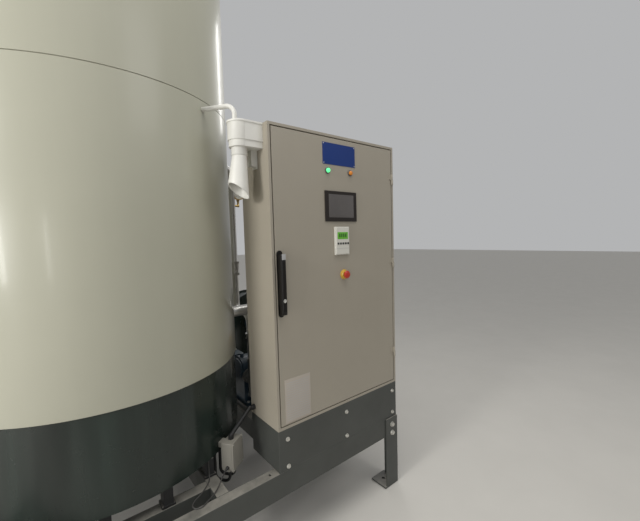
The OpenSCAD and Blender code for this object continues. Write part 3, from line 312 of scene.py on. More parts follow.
slots = {s["node"]: s["material_slot"] for s in frame["record"]["subparts"]}
for name, obj in NODES.items():
    slot = slots[name]
    obj.data.materials.clear()
    obj.data.materials.append(MATS[NODE_FINISH.get(name, slot)])
    if slot in EDGE:
        round_edges(obj, EDGE[slot])


# Building pieces
SHARP_ANGLE = math.radians(30)


def built(name, bm, body, slot, look=None, replaces=()):
    """Makes a piece of what bm holds. Its finish is look, or else its slot's own. A body of None is for a
    piece that spans two bodies, and leaves it attached to neither."""
    bmesh.ops.recalc_face_normals(bm, faces=bm.faces)
    mesh = bpy.data.meshes.new(name)
    bm.to_mesh(mesh)
    bm.free()
    o = bpy.data.objects.new(name, mesh)
    scene.collection.objects.link(o)
    mesh.materials.append(MATS[look or slot])
    for p in mesh.polygons:
        p.use_smooth = True
    mesh.set_sharp_from_angle(angle=SHARP_ANGLE)
    if body:
        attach(o, body)
    if replaces:
        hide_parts(*replaces)
    return o


def lathe(name, profile, centre, body, slot, steps, axis="Z", **kw):
    """A closed profile of (radius, height) turned round an axis through centre. On the Y axis, height is
    to the front."""
    bm = bmesh.new()
    rings = []
    for k in range(steps):
        a = 2 * math.pi * k / steps
        c, s = math.cos(a), math.sin(a)
        ring = []
        for r, h in profile:
            offset = (r * c, r * s, h) if axis == "Z" else (r * c, -h, r * s)
            ring.append(bm.verts.new(at(*(m + d for m, d in zip(centre, offset)))))
        rings.append(ring)
    for a, b in zip(rings, rings[1:] + rings[:1]):
        for i in range(len(profile)):
            j = (i + 1) % len(profile)
            if profile[i][0] or profile[j][0]:
                bm.faces.new([a[i], b[i], b[j], a[j]])
    bmesh.ops.remove_doubles(bm, verts=bm.verts, dist=1e-6)
    built(name, bm, body, slot, **kw)


def block(name, boxes, body, slot, edge, **kw):
    """Boxes, each as (low corner, high corner), with edges rounded by edge millimetres."""
    bm = bmesh.new()
    for lo, hi in boxes:
        lo, hi = at(*lo), at(*hi)
        for v in bmesh.ops.create_cube(bm, size=1.0)["verts"]:
            v.co = Vector(tuple(lo[i] if v.co[i] < 0 else hi[i] for i in range(3)))
    if edge:
        bmesh.ops.bevel(bm, geom=list(bm.edges), offset=edge / MM, segments=3, profile=0.6, affect="EDGES")
    built(name, bm, body, slot, **kw)


def frame_on(direction):
    """Rotation that takes +Z to a direction."""
    return Vector(UP).rotation_difference(Vector(direction).normalized()).to_matrix()


def revolve(bm, profile, spot, turn, steps, phase=0.0):
    """Adds a closed solid of revolution to bm, from its base ring to its tip."""
    spot = Vector(spot)
    rings = []
    for r, h in profile:
        ring = []
        for k in range(steps if r else 1):
            a = 2 * math.pi * k / steps + phase
            ring.append(bm.verts.new(at(*(spot + turn @ Vector((r * math.cos(a), r * math.sin(a), h))))))
        rings.append(ring)
    for lo, hi in zip(rings, rings[1:]):
        for k in range(steps):
            j = (k + 1) % steps
            corners = [lo[k % len(lo)], lo[j % len(lo)], hi[j % len(hi)], hi[k % len(hi)]]
            bm.faces.new(list(dict.fromkeys(corners)))
    for ring, flip in ((rings[0], True), (rings[-1], False)):
        if len(ring) > 1:
            bm.faces.new(list(reversed(ring)) if flip else ring)


def smooth_line(points, per):
    """Points of a curve through the given ones, per of them for each stretch."""
    p = [Vector(q) for q in points]
    p = [2 * p[0] - p[1]] + p + [2 * p[-1] - p[-2]]
    out = []
    for a, b, c, d in zip(p, p[1:], p[2:], p[3:]):
        for i in range(per):
            t = i / per
            out.append(0.5 * (2 * b + (c - a) * t + (2 * a - 5 * b + 4 * c - d) * t * t
                              + (3 * b - a - 3 * c + d) * t ** 3))
    return out + [p[-2]]


def tube(bm, line, r, sides):
    """Adds a round tube along a line of points; its frame is carried from ring to ring."""
    rings = []
    side = None
    for i, q in enumerate(line):
        d = (line[min(i + 1, len(line) - 1)] - line[max(i - 1, 0)]).normalized()
        if side is None:
            side = d.orthogonal().normalized()
        side = (side - d * side.dot(d)).normalized()
        up = d.cross(side)
        rings.append([bm.verts.new(at(*(q + r * (math.cos(a) * side + math.sin(a) * up))))
                      for a in (2 * math.pi * k / sides for k in range(sides))])
    for lo, hi in zip(rings, rings[1:]):
        for k in range(sides):
            j = (k + 1) % sides
            bm.faces.new([lo[k], lo[j], hi[j], hi[k]])
    bm.faces.new(list(reversed(rings[0])))
    bm.faces.new(rings[-1])


def tubes(name, runs, body, slot, sides, per, **kw):
    """Round tubes, each as (points, radius)."""
    bm = bmesh.new()
    for points, r in runs:
        tube(bm, smooth_line(points, per), r, sides)
    return built(name, bm, body, slot, **kw)


# Fasteners. A bolt's outlines are (radius, height) in diameters of its thread, and each head is turned a
# little further than the one before.
WASHER = ((1.05, 0), (1.05, 0.14), (0.99, 0.2))
HEAD = ((0.9, 0.2), (0.9, 0.72), (0.774, 0.82))
THREAD = ((0.48, 0.819), (0.48, 1.12), (0.4, 1.22))
HEAD_TURN = 0.4
DOME = ((1, 0), (1, 0.5), (0.86, 0.82), (0.5, 1))
RECESS = ((0.42, 0.45), (0, 0.45))
TIP = ((0, 1),)


def hex_bolts(name, spots, size, thread=False):
    """Hexagon heads or nuts on washers, as (place, direction); thread adds the bolt's end."""
    bm = bmesh.new()
    for i, (spot, direction) in enumerate(spots):
        solids = [(WASHER, 24, 0.0), (HEAD, 6, HEAD_TURN * i)]
        if thread:
            solids.append((THREAD, 16, 0.0))
        for outline, sides, phase in solids:
            revolve(bm, [(r * size, h * size) for r, h in outline], spot, frame_on(direction), sides, phase)
    built(name, bm, "frame", "bolt_steel")


def bolts_and_nuts(name, heads, nuts, size, thread):
    """Both sides of a bolted joint; thread says whether the bolts' ends show past their nuts."""
    hex_bolts(name + "_bolts", heads, size)
    hex_bolts(name + "_nuts", nuts, size, thread)


def round_heads(name, spots, r, out, body, slot, recessed=False):
    """Domed heads or rivets, as (place, direction); a recessed one has a hollow for the driver."""
    bm = bmesh.new()
    profile = [(k * r, h * out) for k, h in DOME + (RECESS if recessed else TIP)]
    for spot, direction in spots:
        revolve(bm, profile, spot, frame_on(direction), 20 if r > 4 else 12)
    built(name, bm, body, slot)


# A lean so large that it points straight out
OUTWARD = 1.0e6


def ring_spots(centre, axis, r, count, start, lean=0.0):
    """Places round an axis; each direction is the axis, leant outward."""
    axis = Vector(axis).normalized()
    turn = frame_on(axis)
    spots = []
    for k in range(count):
        a = math.radians(start + 360.0 * k / count)
        out = turn @ Vector((math.cos(a), math.sin(a), 0))
        spots.append((tuple(Vector(centre) + r * out), tuple(axis + lean * out)))
    return spots


def across(middle, way, half):
    """The two faces of a joint, each as (place, direction); the first is the one that way points to."""
    middle, way = Vector(middle), Vector(way)
    return (middle + half * way, way), (middle - half * way, -way)


# Flange joints of the steam pipe, the feed pipe and the air duct
for name, middle, way, half, r, size, thread in (
        ("steam_joint", STEAM_JOINT, TO_FRONT, 16, 72, 14, True),
        ("feed_joint", FEED_JOINT, TO_RIGHT, 17, 31, 8, False)):
    heads, nuts = (ring_spots(place, side, r, 4, 45) for place, side in across(middle, way, half))
    bolts_and_nuts(name, heads, nuts, size, thread)
rim = [(dy, dz) for dz in (-111, 111) for dy in (-91, -45, 0, 45, 91)]
rim += [(dy, dz) for dy in (-91, 91) for dz in (-55, 0, 55)]
heads, nuts = ([(tuple(place + Vector((0, dy, dz))), tuple(side)) for dy, dz in rim]
               for place, side in across(AIR_DUCT, TO_RIGHT, 6))
bolts_and_nuts("duct_joint", heads, nuts, 8, True)


# Blower
def scroll_rim_spot(degrees, y, out):
    """Middle of the scroll's rim at an angle from its tongue."""
    r = SCROLL_R + SCROLL_GROW * degrees / 360 + SCROLL_RIM / 2
    a = math.radians(degrees + 180)
    return (BLOWER_X - r * math.sin(a), y, BLOWER_Z + r * math.cos(a)), (0, out, 0)


heads, nuts = ([scroll_rim_spot(a, BLOWER_Y + out * SCROLL_HALF, out) for a in range(15, 350, 30)]
               for out in (1, -1))
bolts_and_nuts("scroll", heads, nuts, 7, False)
MOTOR_FLANGE_Y, INLET_RING_Y = 1251, 1432.4
hex_bolts("blower_motor_bolts", ring_spots((BLOWER_X, MOTOR_FLANGE_Y, BLOWER_Z), TO_FRONT, 99, 6, 30), 8)
hex_bolts("blower_inlet_screws",
          ring_spots((BLOWER_X, INLET_RING_Y, BLOWER_Z), TO_BACK, 142, 8, 22.5, 0.4), 6)
hex_bolts("foot_bolts", [((BLOWER_X + x, y, DECK_Z + FOOT_T), UP)
                         for x in (-85, 130) for y in (1200, 1236)], 10)

# Feed pump, its motor and its belt guard
hex_bolts("guard_screws", ring_spots((GUARD_FACE, CRANK_Y, CRANK_Z), TO_RIGHT, 100, 6, 15)
          + ring_spots((GUARD_FACE, MOTOR_Y, MOTOR_Z), TO_RIGHT, 50, 4, 45), 6)
block("guard_louvres", [((GUARD_FACE - 1.5, CRANK_Y - 28 + 0.3 * abs(i), CRANK_Z - 4 + 14 * i),
                         (GUARD_FACE + 4, CRANK_Y + 28 - 0.3 * abs(i), CRANK_Z + 1 + 14 * i))
                        for i in range(-3, 4)], "frame", "guard_paint", 1.2)
hex_bolts("motor_foot_bolts", [((GUARD_BACK + x, MOTOR_Y + y, DECK_Z + 27), UP)
                               for x in (-167, -40.5) for y in (-76, 76)], 8)
hex_bolts("pump_foot_bolts", [((x, CRANK_Y + y, DECK_Z + 39), UP)
                              for x in (185, 335) for y in (-102, 102)], 9)

# Separator vessel
BAND_R, BAND_Z = 151.9, (875, 1385, 1895)
round_heads("separator_band_rivets", [
    spot for z in BAND_Z for dz in (-9, 9)
    for spot in ring_spots((SEPARATOR_X, SEPARATOR_Y, z + dz), UP, BAND_R, 18, 10.0, OUTWARD)],
    2.4, 1.3, "frame", "pipe_steel")
hex_bolts("separator_foot_bolts", [((SEPARATOR_X + x, SEPARATOR_Y + y, DECK_Z + FOOT_T), UP)
                                   for x in (-145, 145) for y in (-120, 120)], 12)

# Junction box beside the cabinet, with its lid BOX_FACE out from the drum's axis
BOX_ANGLE, BOX_FACE = -54, 737
turn_box = Matrix.Rotation(math.radians(BOX_ANGLE), 3, "Z")


def lid_spot(y, z):
    place = Vector((DRUM_X, DRUM_Y, z)) + turn_box @ Vector((BOX_FACE, y, 0))
    return tuple(place), tuple(turn_box @ Vector(TO_RIGHT))


round_heads("box_lid_screws", [lid_spot(y, z) for y in (-41, 41) for z in (454, 576)], 3.4, 1.6,
            "frame", "bolt_steel", True)

# The drum's shells, finer than its solids
inner_r = CASING_R - CASING_WALL
WINDBOX_LINE = [(WINDBOX_R, WINDBOX_Z), (WINDBOX_R, CASING_Z), (WINDBOX_R - WINDBOX_WALL, CASING_Z),
                (WINDBOX_R - WINDBOX_WALL, WINDBOX_Z)]
CASING_LOW_LINE = [(CASING_R, CASING_Z + 2), (CASING_R, SEAM_Z), (inner_r - 0.3, SEAM_Z),
                   (inner_r - 0.3, SEAM_Z + LAP - 1), (inner_r - CASING_WALL, SEAM_Z + LAP - 1),
                   (inner_r - CASING_WALL, SEAM_Z - LAP), (inner_r, SEAM_Z - LAP), (inner_r, CASING_Z),
                   (CASING_R - 1, CASING_Z)]
CASING_HIGH_LINE = [(CASING_R, SEAM_Z + 4), (CASING_R, COVER_Z), (inner_r, COVER_Z), (inner_r, SEAM_Z + 3),
                    (CASING_R - 1, SEAM_Z + 3)]
for name, line, slot, solid in (("drum_windbox", WINDBOX_LINE, "windbox_paint", "windbox_shell"),
                                ("drum_casing_low", CASING_LOW_LINE, "casing_paint", "casing_lower"),
                                ("drum_casing_high", CASING_HIGH_LINE, "casing_paint", "casing_upper")):
    lathe(name, line, (DRUM_X, DRUM_Y, 0.0), "frame", slot, 256, replaces=(solid,))
hex_bolts("cover_screws", ring_spots((DRUM_X, DRUM_Y, COVER_Z + 15.4), UP, CASING_R - 25, 24, 7.5, 0.18), 8)

# Upright joint of the casing, on the far side
DRUM_BACK = DRUM_Y + CASING_R
block("casing_joint", [((DRUM_X - 16, DRUM_BACK - 1.4, low), (DRUM_X + 16, DRUM_BACK + 1.2, high))
                       for low, high in ((CASING_Z + 14, SEAM_Z - 7), (SEAM_Z + 45, COVER_Z - 8))],
      "frame", "casing_paint", 0.6)
rivet_z = [CASING_Z + 33 + 90 * k for k in range(14)] + [SEAM_Z + 57 + 90 * k for k in range(8)]
round_heads("casing_joint_rivets", [((DRUM_X + x, DRUM_BACK + 1.1, z), TO_BACK)
                                    for x in (-9, 9) for z in rivet_z], 3.4, 1.6, "frame", "casing_paint")

# Free loop of thin cable that lies across the skid, from the junction box to the windbox
LOOP_R = 2.6
LOOP_ROUTE = [
    (-184, 162, 466), (-200, 150, 464), (-217, 137, 457), (-234, 123, 448), (-251, 107, 441),
    (-270, 90, 438.2), (-296, 71, 438), (-322, 55, 438.2), (-345, 43, 438.2), (-368, 47, 438.2),
    (-377, 69, 438.2), (-363, 92, 438), (-338, 109, 437.6), (-312, 128, 437), (-288, 150, 437.6),
    (-272, 168, 438.2), (-264, 181, 442), (-260, 190, 454), (-259, 194, 474), (-259, 195, 498),
    (-259, 195, 520)]
loop_path = smooth_line(LOOP_ROUTE, 5)
loop_mesh = bmesh.new()
tube(loop_mesh, loop_path, LOOP_R, 10)
loop = built("loop_cable", loop_mesh, "frame", "cable_black", look="cable_grey")
gland = bmesh.new()
revolve(gland, [(8, -3), (8, 4), (6.5, 7), (4.2, 14), (3.1, 15)], loop_path[0],
        frame_on(loop_path[1] - loop_path[0]), 20)
built("loop_gland", gland, "frame", "cable_black")

# Cabinet's outside: top plugs, blue plate's screws, lamps, touch panel and controller
round_heads("cabinet_top_plugs", [((x, y, CABINET_TOP), UP) for x in (32, CABINET_W - 32)
                                  for y in (34, CABINET_D - 34)], 9, 3, "frame", "black_plastic")
round_heads("plate_screws", [((x, -1.9, z), TO_FRONT) for x in (PLATE_X + 6, PLATE_X + PLATE_W - 6)
                             for z in (PLATE_Z + 6, PLATE_Z + PLATE_H - 6)], 2.6, 1.2,
            "door", "bolt_steel", True)
BEZEL_LINE = [(11.5, 0), (15.8, 0), (15.8, 3.2), (13.8, 5.8), (11.5, 5.8)]
for tint, x in LAMPS:
    lathe("lamp_bezel_" + tint, BEZEL_LINE, (x, 0, LAMP_Z), "door", "black_plastic", 48, "Y",
          look="lamp_ring")
block("touch_screen", [((TOUCH_X + 21.5, -6.6, TOUCH_Z + 19.5),
                        (TOUCH_X + TOUCH_W - 21.5, -5.9, TOUCH_Z + TOUCH_H - 15.5))],
      "door", "panel_dark", 0.2, look="screen_glass")


def on_controller(name, rows, edge, look):
    """Boxes on the controller's face, each as (left, right, low, high, front, back)."""
    block(name, [((CONTROL_X + left, front, CONTROL_Z + low), (CONTROL_X + right, back, CONTROL_Z + high))
                 for left, right, low, high, front, back in rows], "door", "white_plastic", edge, look=look)


on_controller("controller_display", [(11, 83, 80.4, 116, -15.4, -14.6)], 0.3, "lcd_green")
on_controller("controller_segments", [(21 + 14 * i, 30 + 14 * i, 90, 109, -15.6, -15.35) for i in range(4)],
              0.1, "lcd_segments")
on_controller("controller_keys", [(10 + 17 * i, 21 + 17 * i, 53, 63, -16.4, -14.6) for i in range(5)], 0.6,
              "door_seal")
on_controller("controller_seam", [(2.5, 93.5, 32, 33.2, -15.3, -14.8)], 0.1, "light_grey_trim")

# Plain ruled sheet, and the handle's inlay and lock
SHEET_LEFT, SHEET_RIGHT, SHEET_LOW, SHEET_HIGH = 42, 190, 660, 868
block("notice_sheet", [((SHEET_LEFT, -0.9, SHEET_LOW), (SHEET_RIGHT, 0.1, SHEET_HIGH))],
      "door", "white_plastic", 0.3, look="paper_sheet")
block("notice_rules", [((SHEET_LEFT + 8, -1.1, z), (SHEET_RIGHT - 8, -0.85, z + 2.6))
                       for z in range(SHEET_LOW + 12, SHEET_HIGH - 10, 11)],
      "door", "white_plastic", 0, look="light_grey_trim")
block("handle_inlay", [((HANDLE_X - 10, -38.7, HANDLE_Z - 11), (HANDLE_X + 10, -37.4, HANDLE_Z + 15))],
      "lever", "black_plastic", 0.8, look="light_grey_trim")
round_heads("handle_lock", [((HANDLE_X, -36.6, HANDLE_Z - 195), TO_FRONT)], 8.5, 1.3,
            "lever", "bolt_steel", True)


# Pressure gauge: dial, ticks, pointer and hub
def on_dial(degrees, r, out):
    a = math.radians(degrees)
    return DIAL[0] + r * math.cos(a), DIAL[1] - out, DIAL[2] + r * math.sin(a)


TICKS, FIRST_TICK, TICK_STEP = 21, 225, 13.5


def tick(i):
    """Every fifth tick is a long one."""
    degrees = FIRST_TICK - TICK_STEP * i
    return (on_dial(degrees, 25 if i % 5 else 21, 1.2), on_dial(degrees, 31, 1.2)), 0.7


lathe("gauge_dial", [(0, 0.2), (34.5, 0.2), (34.5, 1.0), (0, 1.0)], DIAL, "frame", "white_plastic", 64, "Y")
tubes("gauge_ticks", [tick(i) for i in range(TICKS)], "frame", "black_plastic", 4, 1)
tubes("gauge_pointer", [((on_dial(297, 9, 2.0), on_dial(117, 27, 2.0)), 1.1)], "frame", "stop_red", 6, 1)
lathe("gauge_hub", [(0, 0.8), (4.2, 0.8), (4.2, 3.4), (2.6, 4.0), (0, 4.0)], DIAL,
      "frame", "black_plastic", 24, "Y")

# Inside the cabinet: devices on four rails, each with the edges of the wiring ducts above and below it
RAIL_FACE = 224.0
TOP_RAIL, UPPER_RAIL, LOWER_RAIL, BOTTOM_RAIL = 1838.5, 1528.5, 1208.5, 898.5
DUCT_EDGES = {TOP_RAIL: (1925, 1705), UPPER_RAIL: (1665, 1390), LOWER_RAIL: (1350, 1070),
              BOTTOM_RAIL: (1030, 745)}
# Rail, first x, count, width, height, depth, kind
DEVICE_ROWS = (
    (TOP_RAIL, 115, 10, 18, 84, 68, "breaker"), (TOP_RAIL, 365, 3, 45, 90, 80, "contactor"),
    (TOP_RAIL, 545, 1, 60, 120, 95, "supply"), (UPPER_RAIL, 115, 4, 45, 86, 88, "contactor"),
    (UPPER_RAIL, 345, 3, 72, 120, 96, "starter"), (LOWER_RAIL, 115, 1, 130, 120, 80, "computer"),
    (LOWER_RAIL, 265, 5, 36, 112, 76, "module"), (BOTTOM_RAIL, 115, 12, 16, 56, 44, "terminal"),
    (BOTTOM_RAIL, 375, 8, 22, 72, 60, "relay"),
)
# Terminals above and below
POLES = {"breaker": (1, 1), "contactor": (3, 3), "supply": (3, 4), "starter": (3, 3), "computer": (11, 11),
         "module": (4, 4), "terminal": (1, 1), "relay": (2, 3)}
# Slot and finish of each tint
DEVICE_LOOKS = {
    "light": ("device_grey", "light_grey_trim"), "dark": ("device_grey", None),
    "black": ("black_plastic", None), "blue": ("device_grey", "wire_blue"), "white": ("white_plastic", None),
    "green": ("device_grey", "wire_green_yellow"), "red": ("stop_red", None),
    "orange": ("lamp_orange", "wire_orange"),
}
WIRE_LOOKS = {"black": None, "blue": "wire_blue", "orange": "wire_orange"}
WIRE_ORDER = ("black", "blue", "black", "blue", "orange")
WIRE_R, WIRE_SPREAD, DUCT_FACE = 1.5, 3.5, 198
device_boxes = {tint: [] for tint in DEVICE_LOOKS}
device_screws = []
wire_runs = {tint: [] for tint in WIRE_LOOKS}


def wire(x, y, z, edge, k):
    """From a terminal out and round to the edge of a duct."""
    way = 1 if edge > z else -1
    slant = WIRE_SPREAD * math.sin(2.3 * k)
    run = [(x, y + 2, z), (x, y - 5, z + way * 3), (x + slant * 0.4, y - 7, z + way * 14),
           (x + slant, 0.5 * (y + DUCT_FACE) - 6, 0.5 * (z + edge)), (x + slant, DUCT_FACE, edge - way * 3),
           (x + slant, DUCT_FACE + 4, edge + way * 6)]
    wire_runs[WIRE_ORDER[k % 5]].append((run, WIRE_R))


def housing_tint(kind, i):
    if kind == "terminal" and i % 4 > 1:
        return "blue" if i % 4 == 2 else "green"
    if kind == "relay":
        return "black"
    return "dark" if kind in ("contactor", "starter", "computer") else "light"


def device_front(kind, x, w, nose_y, rail_z):
    """Levers, labels, vents and lamps on the front of a device."""
    mid = w / 2

    def add(tint, left, right, low, high, out, into=1):
        device_boxes[tint].append(((x + left, nose_y - out, rail_z + low),
                                   (x + right, nose_y + into, rail_z + high)))

    if kind == "breaker":
        add("black", mid - 4, mid + 4, -4, 5, 7)
        add("white", 2, w - 2, 9, 19, 0.4)
    elif kind in ("contactor", "starter"):
        add("light", 5, w - 5, -16, 6, 1.2)
        add("black", mid - 6, mid + 6, -10, -1, 5, 0)
        add("white", 7, w - 7, 9, 17, 0.5)
        if kind == "starter":
            add("red", 12, 22, -26, -18, 4, 0)
            add("black", 50, 62, -28, -17, 6, 0)
    elif kind == "relay":
        add("orange", 3, w - 3, -14, 15, 1.5)
    elif kind in ("computer", "module"):
        add("black", 4, w - 4, -24, 12, 1.5)
        for k in range(3 if kind == "module" else 8):
            add("green" if k % 3 else "red", 6 + 7 * k, 9 + 7 * k, 17, 20, 0.8)
    elif kind == "supply":
        for k in range(6):
            add("black", 6, w - 6, -26 + 7 * k, -23 + 7 * k, 0.6)
        add("green", 8, 12, 20, 24, 0.8)


# Share of a device's depth at which its housing steps back for the terminals
STEP = 0.65


def device(kind, x, w, h, d, rail_z, tint):
    """A stepped housing on its rail, with its front, and a screw and a wire at each terminal."""
    step_y = RAIL_FACE - STEP * d
    nose_y = RAIL_FACE - d
    device_boxes[tint] += [((x, step_y, rail_z - h / 2), (x + w, RAIL_FACE, rail_z + h / 2)),
                           ((x + 0.4, nose_y, rail_z - h / 4), (x + w - 0.4, step_y + 3, rail_z + h / 4))]
    device_front(kind, x, w, nose_y, rail_z)
    for side, poles, edge in zip((1, -1), POLES[kind], DUCT_EDGES[rail_z]):
        for p in range(poles):
            px, pz = x + w * (p + 0.5) / poles, rail_z + side * (h / 2 - 7)
            device_boxes["black"].append(((px - 2.6, step_y - 0.5, pz - 4), (px + 2.6, step_y + 1, pz + 4)))
            device_screws.append(((px, step_y - 0.5, pz - side * 0.5), TO_FRONT))
            wire(px, step_y, pz + side * 3, edge, len(device_screws))


for rail_z, first_x, count, w, h, d, kind in DEVICE_ROWS:
    for i in range(count):
        device(kind, first_x + i * (w + 1), w, h, d, rail_z, housing_tint(kind, i))
for tint, (slot, look) in DEVICE_LOOKS.items():
    block("switchgear_" + tint, device_boxes[tint], "frame", slot, 0.6 if tint in ("light", "dark") else 0.3,
          look=look, replaces=("switchgear",) if tint == "dark" else ())
round_heads("terminal_screws", device_screws, 2.1, 0.9, "frame", "bolt_steel")
for tint, look in WIRE_LOOKS.items():
    tubes("cabinet_wires_" + tint, wire_runs[tint], "frame", "cable_black", 6, 3, look=look)

# Earth bar, entry cables and their glands
BAR_LEFT, BAR_RIGHT, BAR_Y, BAR_Z, BAR_PITCH = 590, 735, 212, 890, 14
earth_bar = [((BAR_LEFT, BAR_Y, BAR_Z - 10), (BAR_RIGHT, BAR_Y + 5, BAR_Z + 10))]
earth_bar += [((x, BAR_Y + 5, BAR_Z - 5), (x + 12, BAR_Y + 20, BAR_Z + 5))
              for x in (BAR_LEFT + 10, BAR_RIGHT - 22)]
block("earth_bar", earth_bar, "frame", "brass", 0.6, look="copper_bar")
round_heads("earth_screws", [((x, BAR_Y, BAR_Z), TO_FRONT)
                             for x in range(BAR_LEFT + 8, BAR_RIGHT - 3, BAR_PITCH)], 4, 2.4,
            "frame", "brass", True)
tubes("earth_wires", [([(x, 209, 892), (x, 200, 880), (x + 3, 190, 830), (x + 6, 196, 765),
                        (x + 6, 202, 742)], 2.0) for x in range(BAR_LEFT + 22, BAR_RIGHT - 15, BAR_PITCH)],
      "frame", "cable_black", 8, 4, look="wire_green_yellow")
# Middle and radius of each cable
ENTRIES = ((180, 9), (240, 9), (300, 7), (370, 7), (470, 6), (540, 6), (600, 5))
ENTRY_Y, ENTRY_Z = 140, 638
tubes("entry_cables", [([(x, ENTRY_Y, ENTRY_Z + 1), (x, ENTRY_Y, ENTRY_Z + 27), (x + 4, 160, 690),
                         (x + 6, 192, 702), (x + 6, 202, 712)], r) for x, r in ENTRIES],
      "frame", "cable_black", 14, 5)
glands = bmesh.new()
for x, r in ENTRIES:
    spot = (x, ENTRY_Y, ENTRY_Z)
    revolve(glands, [(r + 8, 0), (r + 8, 5), (r + 7, 6)], spot, frame_on(UP), 6)
    revolve(glands, [(r + 5.5, 5.9), (r + 5, 16), (r + 1, 20), (r + 1, 21)], spot, frame_on(UP), 20)
built("entry_glands", glands, "frame", "black_plastic")

# Inside the door: foam seal, perforated stays, and the lock's case, rods and guides
DOOR_IN = 3.0
SEAL_LEFT, SEAL_RIGHT, SEAL_LOW, SEAL_HIGH, SEAL_W, SEAL_IN = 24, 816, 659, 2011, 9, 24.6
seal = [((x, DOOR_IN, SEAL_LOW), (x + SEAL_W, SEAL_IN, SEAL_HIGH)) for x in (SEAL_LEFT, SEAL_RIGHT - SEAL_W)]
seal += [((SEAL_LEFT + SEAL_W, DOOR_IN, z), (SEAL_RIGHT - SEAL_W, SEAL_IN, z + SEAL_W))
         for z in (SEAL_LOW, SEAL_HIGH - SEAL_W)]
block("door_seal", seal, "door", "black_plastic", 2, look="door_seal")
STAY_LOW, STAY_HIGH, STAY_W, STAY_IN = 700, 1972, 22, 17
stays = []
for x in (72, 752):
    stays += [((side, DOOR_IN, STAY_LOW), (side + 5, STAY_IN, STAY_HIGH)) for side in (x, x + STAY_W - 5)]
    stays += [((x + 5, STAY_IN - 2.5, z), (x + STAY_W - 5, STAY_IN, z + 12.5))
              for z in range(STAY_LOW, STAY_HIGH, 25)]
block("door_stays", stays, "door", "galvanised", 0)
LOCK_X, LOCK_LOW, LOCK_HIGH = 54, 1385, 1495
block("lock_case", [((LOCK_X - 10, DOOR_IN, LOCK_LOW), (LOCK_X + 10, 19, LOCK_HIGH))],
      "door", "galvanised", 2)
block("lock_rods", [((LOCK_X - 5, 7, low), (LOCK_X + 5, 11, high))
                    for low, high in ((690, LOCK_LOW + 1), (LOCK_HIGH - 1, 1985))], "door", "galvanised", 0.5)
block("lock_guides", [((LOCK_X - 8, DOOR_IN, z), (LOCK_X + 8, 12.5, z + 14))
                      for z in (720, 1000, 1700, 1950)], "door", "black_plastic", 1)

# Backs of the door's devices, with their nuts, and the document pocket
block("device_backs_dark", [((TOUCH_X + 13, DOOR_IN, TOUCH_Z + 13), (TOUCH_X + 202, 40, TOUCH_Z + 141)),
                            ((CONTROL_X + 7, DOOR_IN, CONTROL_Z + 8), (CONTROL_X + 93, 72, CONTROL_Z + 136)),
                            ((STOP_X - 11, DOOR_IN, STOP_Z - 22), (STOP_X + 11, 50, STOP_Z + 22))],
      "door", "black_plastic", 2)
light_backs = [((x - 11, 24, LAMP_Z - 12), (x + 11, 52, LAMP_Z + 12)) for tint, x in LAMPS]
light_backs += [((CONTROL_X + 15, 71.5, CONTROL_Z + z), (CONTROL_X + 85, 78, CONTROL_Z + z + 16))
                for z in (18, 110)]
light_backs.append(((TOUCH_X + 27, 39.5, TOUCH_Z + 19), (TOUCH_X + 107, 46, TOUCH_Z + 31)))
block("device_backs_light", light_backs, "door", "device_grey", 1, look="light_grey_trim")
nuts = bmesh.new()
for x, z, r in [(x, LAMP_Z, 13) for tint, x in LAMPS] + [(STOP_X, STOP_Z, 15)]:
    revolve(nuts, [(r, DOOR_IN), (r, 9), (r - 3, 9.5), (r - 3, 25)], (x, 0, z), frame_on(TO_BACK), 28)
built("device_nuts", nuts, "door", "black_plastic")
POCKET_LEFT, POCKET_RIGHT, POCKET_LOW, POCKET_OUT, POCKET_T = 300, 560, 760, 30, 2
POCKET_BACK = DOOR_IN + POCKET_T
pocket = [((POCKET_LEFT, DOOR_IN, POCKET_LOW), (POCKET_RIGHT, POCKET_BACK, 980)),
          ((POCKET_LEFT, POCKET_OUT, POCKET_LOW), (POCKET_RIGHT, POCKET_OUT + POCKET_T, 930))]
pocket += [((x, POCKET_BACK, POCKET_LOW), (x + POCKET_T, POCKET_OUT, 950))
           for x in (POCKET_LEFT, POCKET_RIGHT - POCKET_T)]
pocket.append(((POCKET_LEFT + POCKET_T, POCKET_BACK, POCKET_LOW),
               (POCKET_RIGHT - POCKET_T, POCKET_OUT, POCKET_LOW + POCKET_T)))
block("document_pocket", pocket, "door", "duct_grey", 0.8)

# Loom on the door, with a branch to each device, and its stretch that crosses the hinge to the cabinet
LOOM_TOP, LOOM_END = (790, 30, 1500), (790, 30, 1480)
LOOM_RUNS = [
    ([(345, 46, 1862), (360, 30, 1800), (530, 30, 1780), (545, 30, 1640), (560, 30, 1520),
      (640, 30, 1500), (740, 30, 1500), (782, 30, 1500), LOOM_TOP, LOOM_END], 6.5),
    ([(489, 46, 1850), (500, 34, 1800), (535, 30, 1760), (545, 30, 1700)], 3.5),
    ([(425, 50, 1325), (470, 36, 1330), (560, 30, 1400), (600, 30, 1490), (640, 30, 1500)], 3.5),
    ([(450, 75, 1480), (480, 60, 1480), (540, 34, 1500), (600, 30, 1502)], 4.5),
]
CROSSING_RUN = [LOOM_TOP, LOOM_END, (790, 30, 1440), (790, 32, 1380), (790, 36, 1320), (790, 44, 1270),
                (790, 60, 1240), (788, 120, 1228), (780, 185, 1226)]
tubes("door_loom", LOOM_RUNS, "door", "cable_black", 12, 6)
crossing = tubes("crossing_loom", [(CROSSING_RUN, 6.6)], None, "cable_black", 12, 10)
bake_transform(crossing)
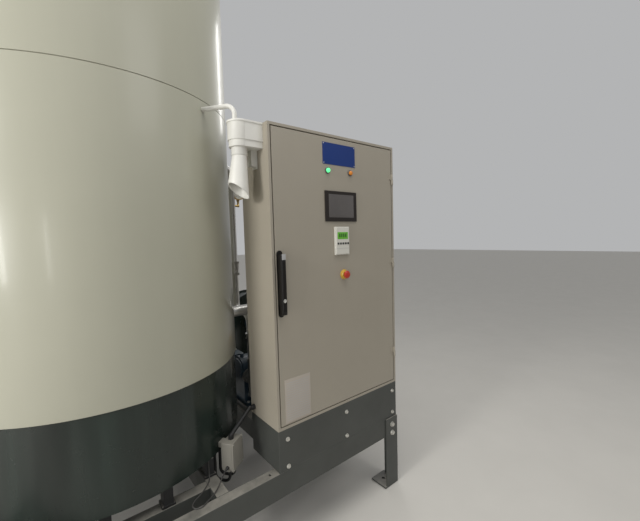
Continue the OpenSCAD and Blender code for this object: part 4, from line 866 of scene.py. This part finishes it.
block("loom_clips", [((782, DOOR_IN, 1488), (799, 40, 1496)), ((636, DOOR_IN, 1494), (644, 39, 1508)),
                     ((540, DOOR_IN, 1700), (553, 39, 1708))], "door", "black_plastic", 1)

# Floor, just below the feet
FLOOR_HALF, FLOOR_Z = 30.0, -0.002
bm = bmesh.new()
bmesh.ops.create_grid(bm, x_segments=2, y_segments=2, size=FLOOR_HALF)
floor_mesh = bpy.data.meshes.new("stage_floor")
bm.to_mesh(floor_mesh)
bm.free()
floor = bpy.data.objects.new("stage_floor", floor_mesh)
scene.collection.objects.link(floor)
floor_mesh.materials.append(surface("stage_floor", (0.56, 0.54, 0.50), 0.7, vary=0.02))
floor.location.z = FLOOR_Z

# Lights, with places and sizes in metres
world = bpy.data.worlds.new("world")
scene.world = world
world.use_nodes = True
sky = world.node_tree.nodes["Background"]
sky.inputs["Color"].default_value = (0.94, 0.95, 0.96, 1)
sky.inputs["Strength"].default_value = 0.48
WARM, WINDOW = (1.0, 0.99, 0.96), (1.0, 1.0, 0.98)


def area(name, where, aim, size, power, tint, size_y=None):
    d = bpy.data.lights.new(name, "AREA")
    d.energy = power
    d.color = tint
    d.size = size
    if size_y:
        d.shape = "RECTANGLE"
        d.size_y = size_y
    o = bpy.data.objects.new(name, d)
    scene.collection.objects.link(o)
    o.location = where
    o.rotation_euler = (Vector(aim) - Vector(where)).to_track_quat("-Z", "Y").to_euler()


area("key_left", (-4.6, -1.0, 2.9), (-0.3, 0.0, 1.5), 1.1, 138, WARM)
area("front_soft", (1.6, -3.6, 3.4), (0.7, -0.7, 1.3), 1.6, 13, WARM)
area("top_soft", (0.1, -1.7, 5.2), (0.0, 0.1, 1.2), 2.6, 78, WARM)
area("rim_back", (2.6, 1.4, 3.6), (0.1, -0.2, 2.5), 0.35, 11, (1.0, 0.99, 0.97), 1.3)
area("window_left", (-3.6, -1.75, 0.95), (-0.7, -0.5, 1.1), 0.2, 22, WINDOW, 1.1)
area("strip_low", (-2.6, -3.1, 0.75), (-0.5, -0.4, 0.75), 0.12, 5, WINDOW, 0.9)
scene.view_settings.view_transform = "Standard"
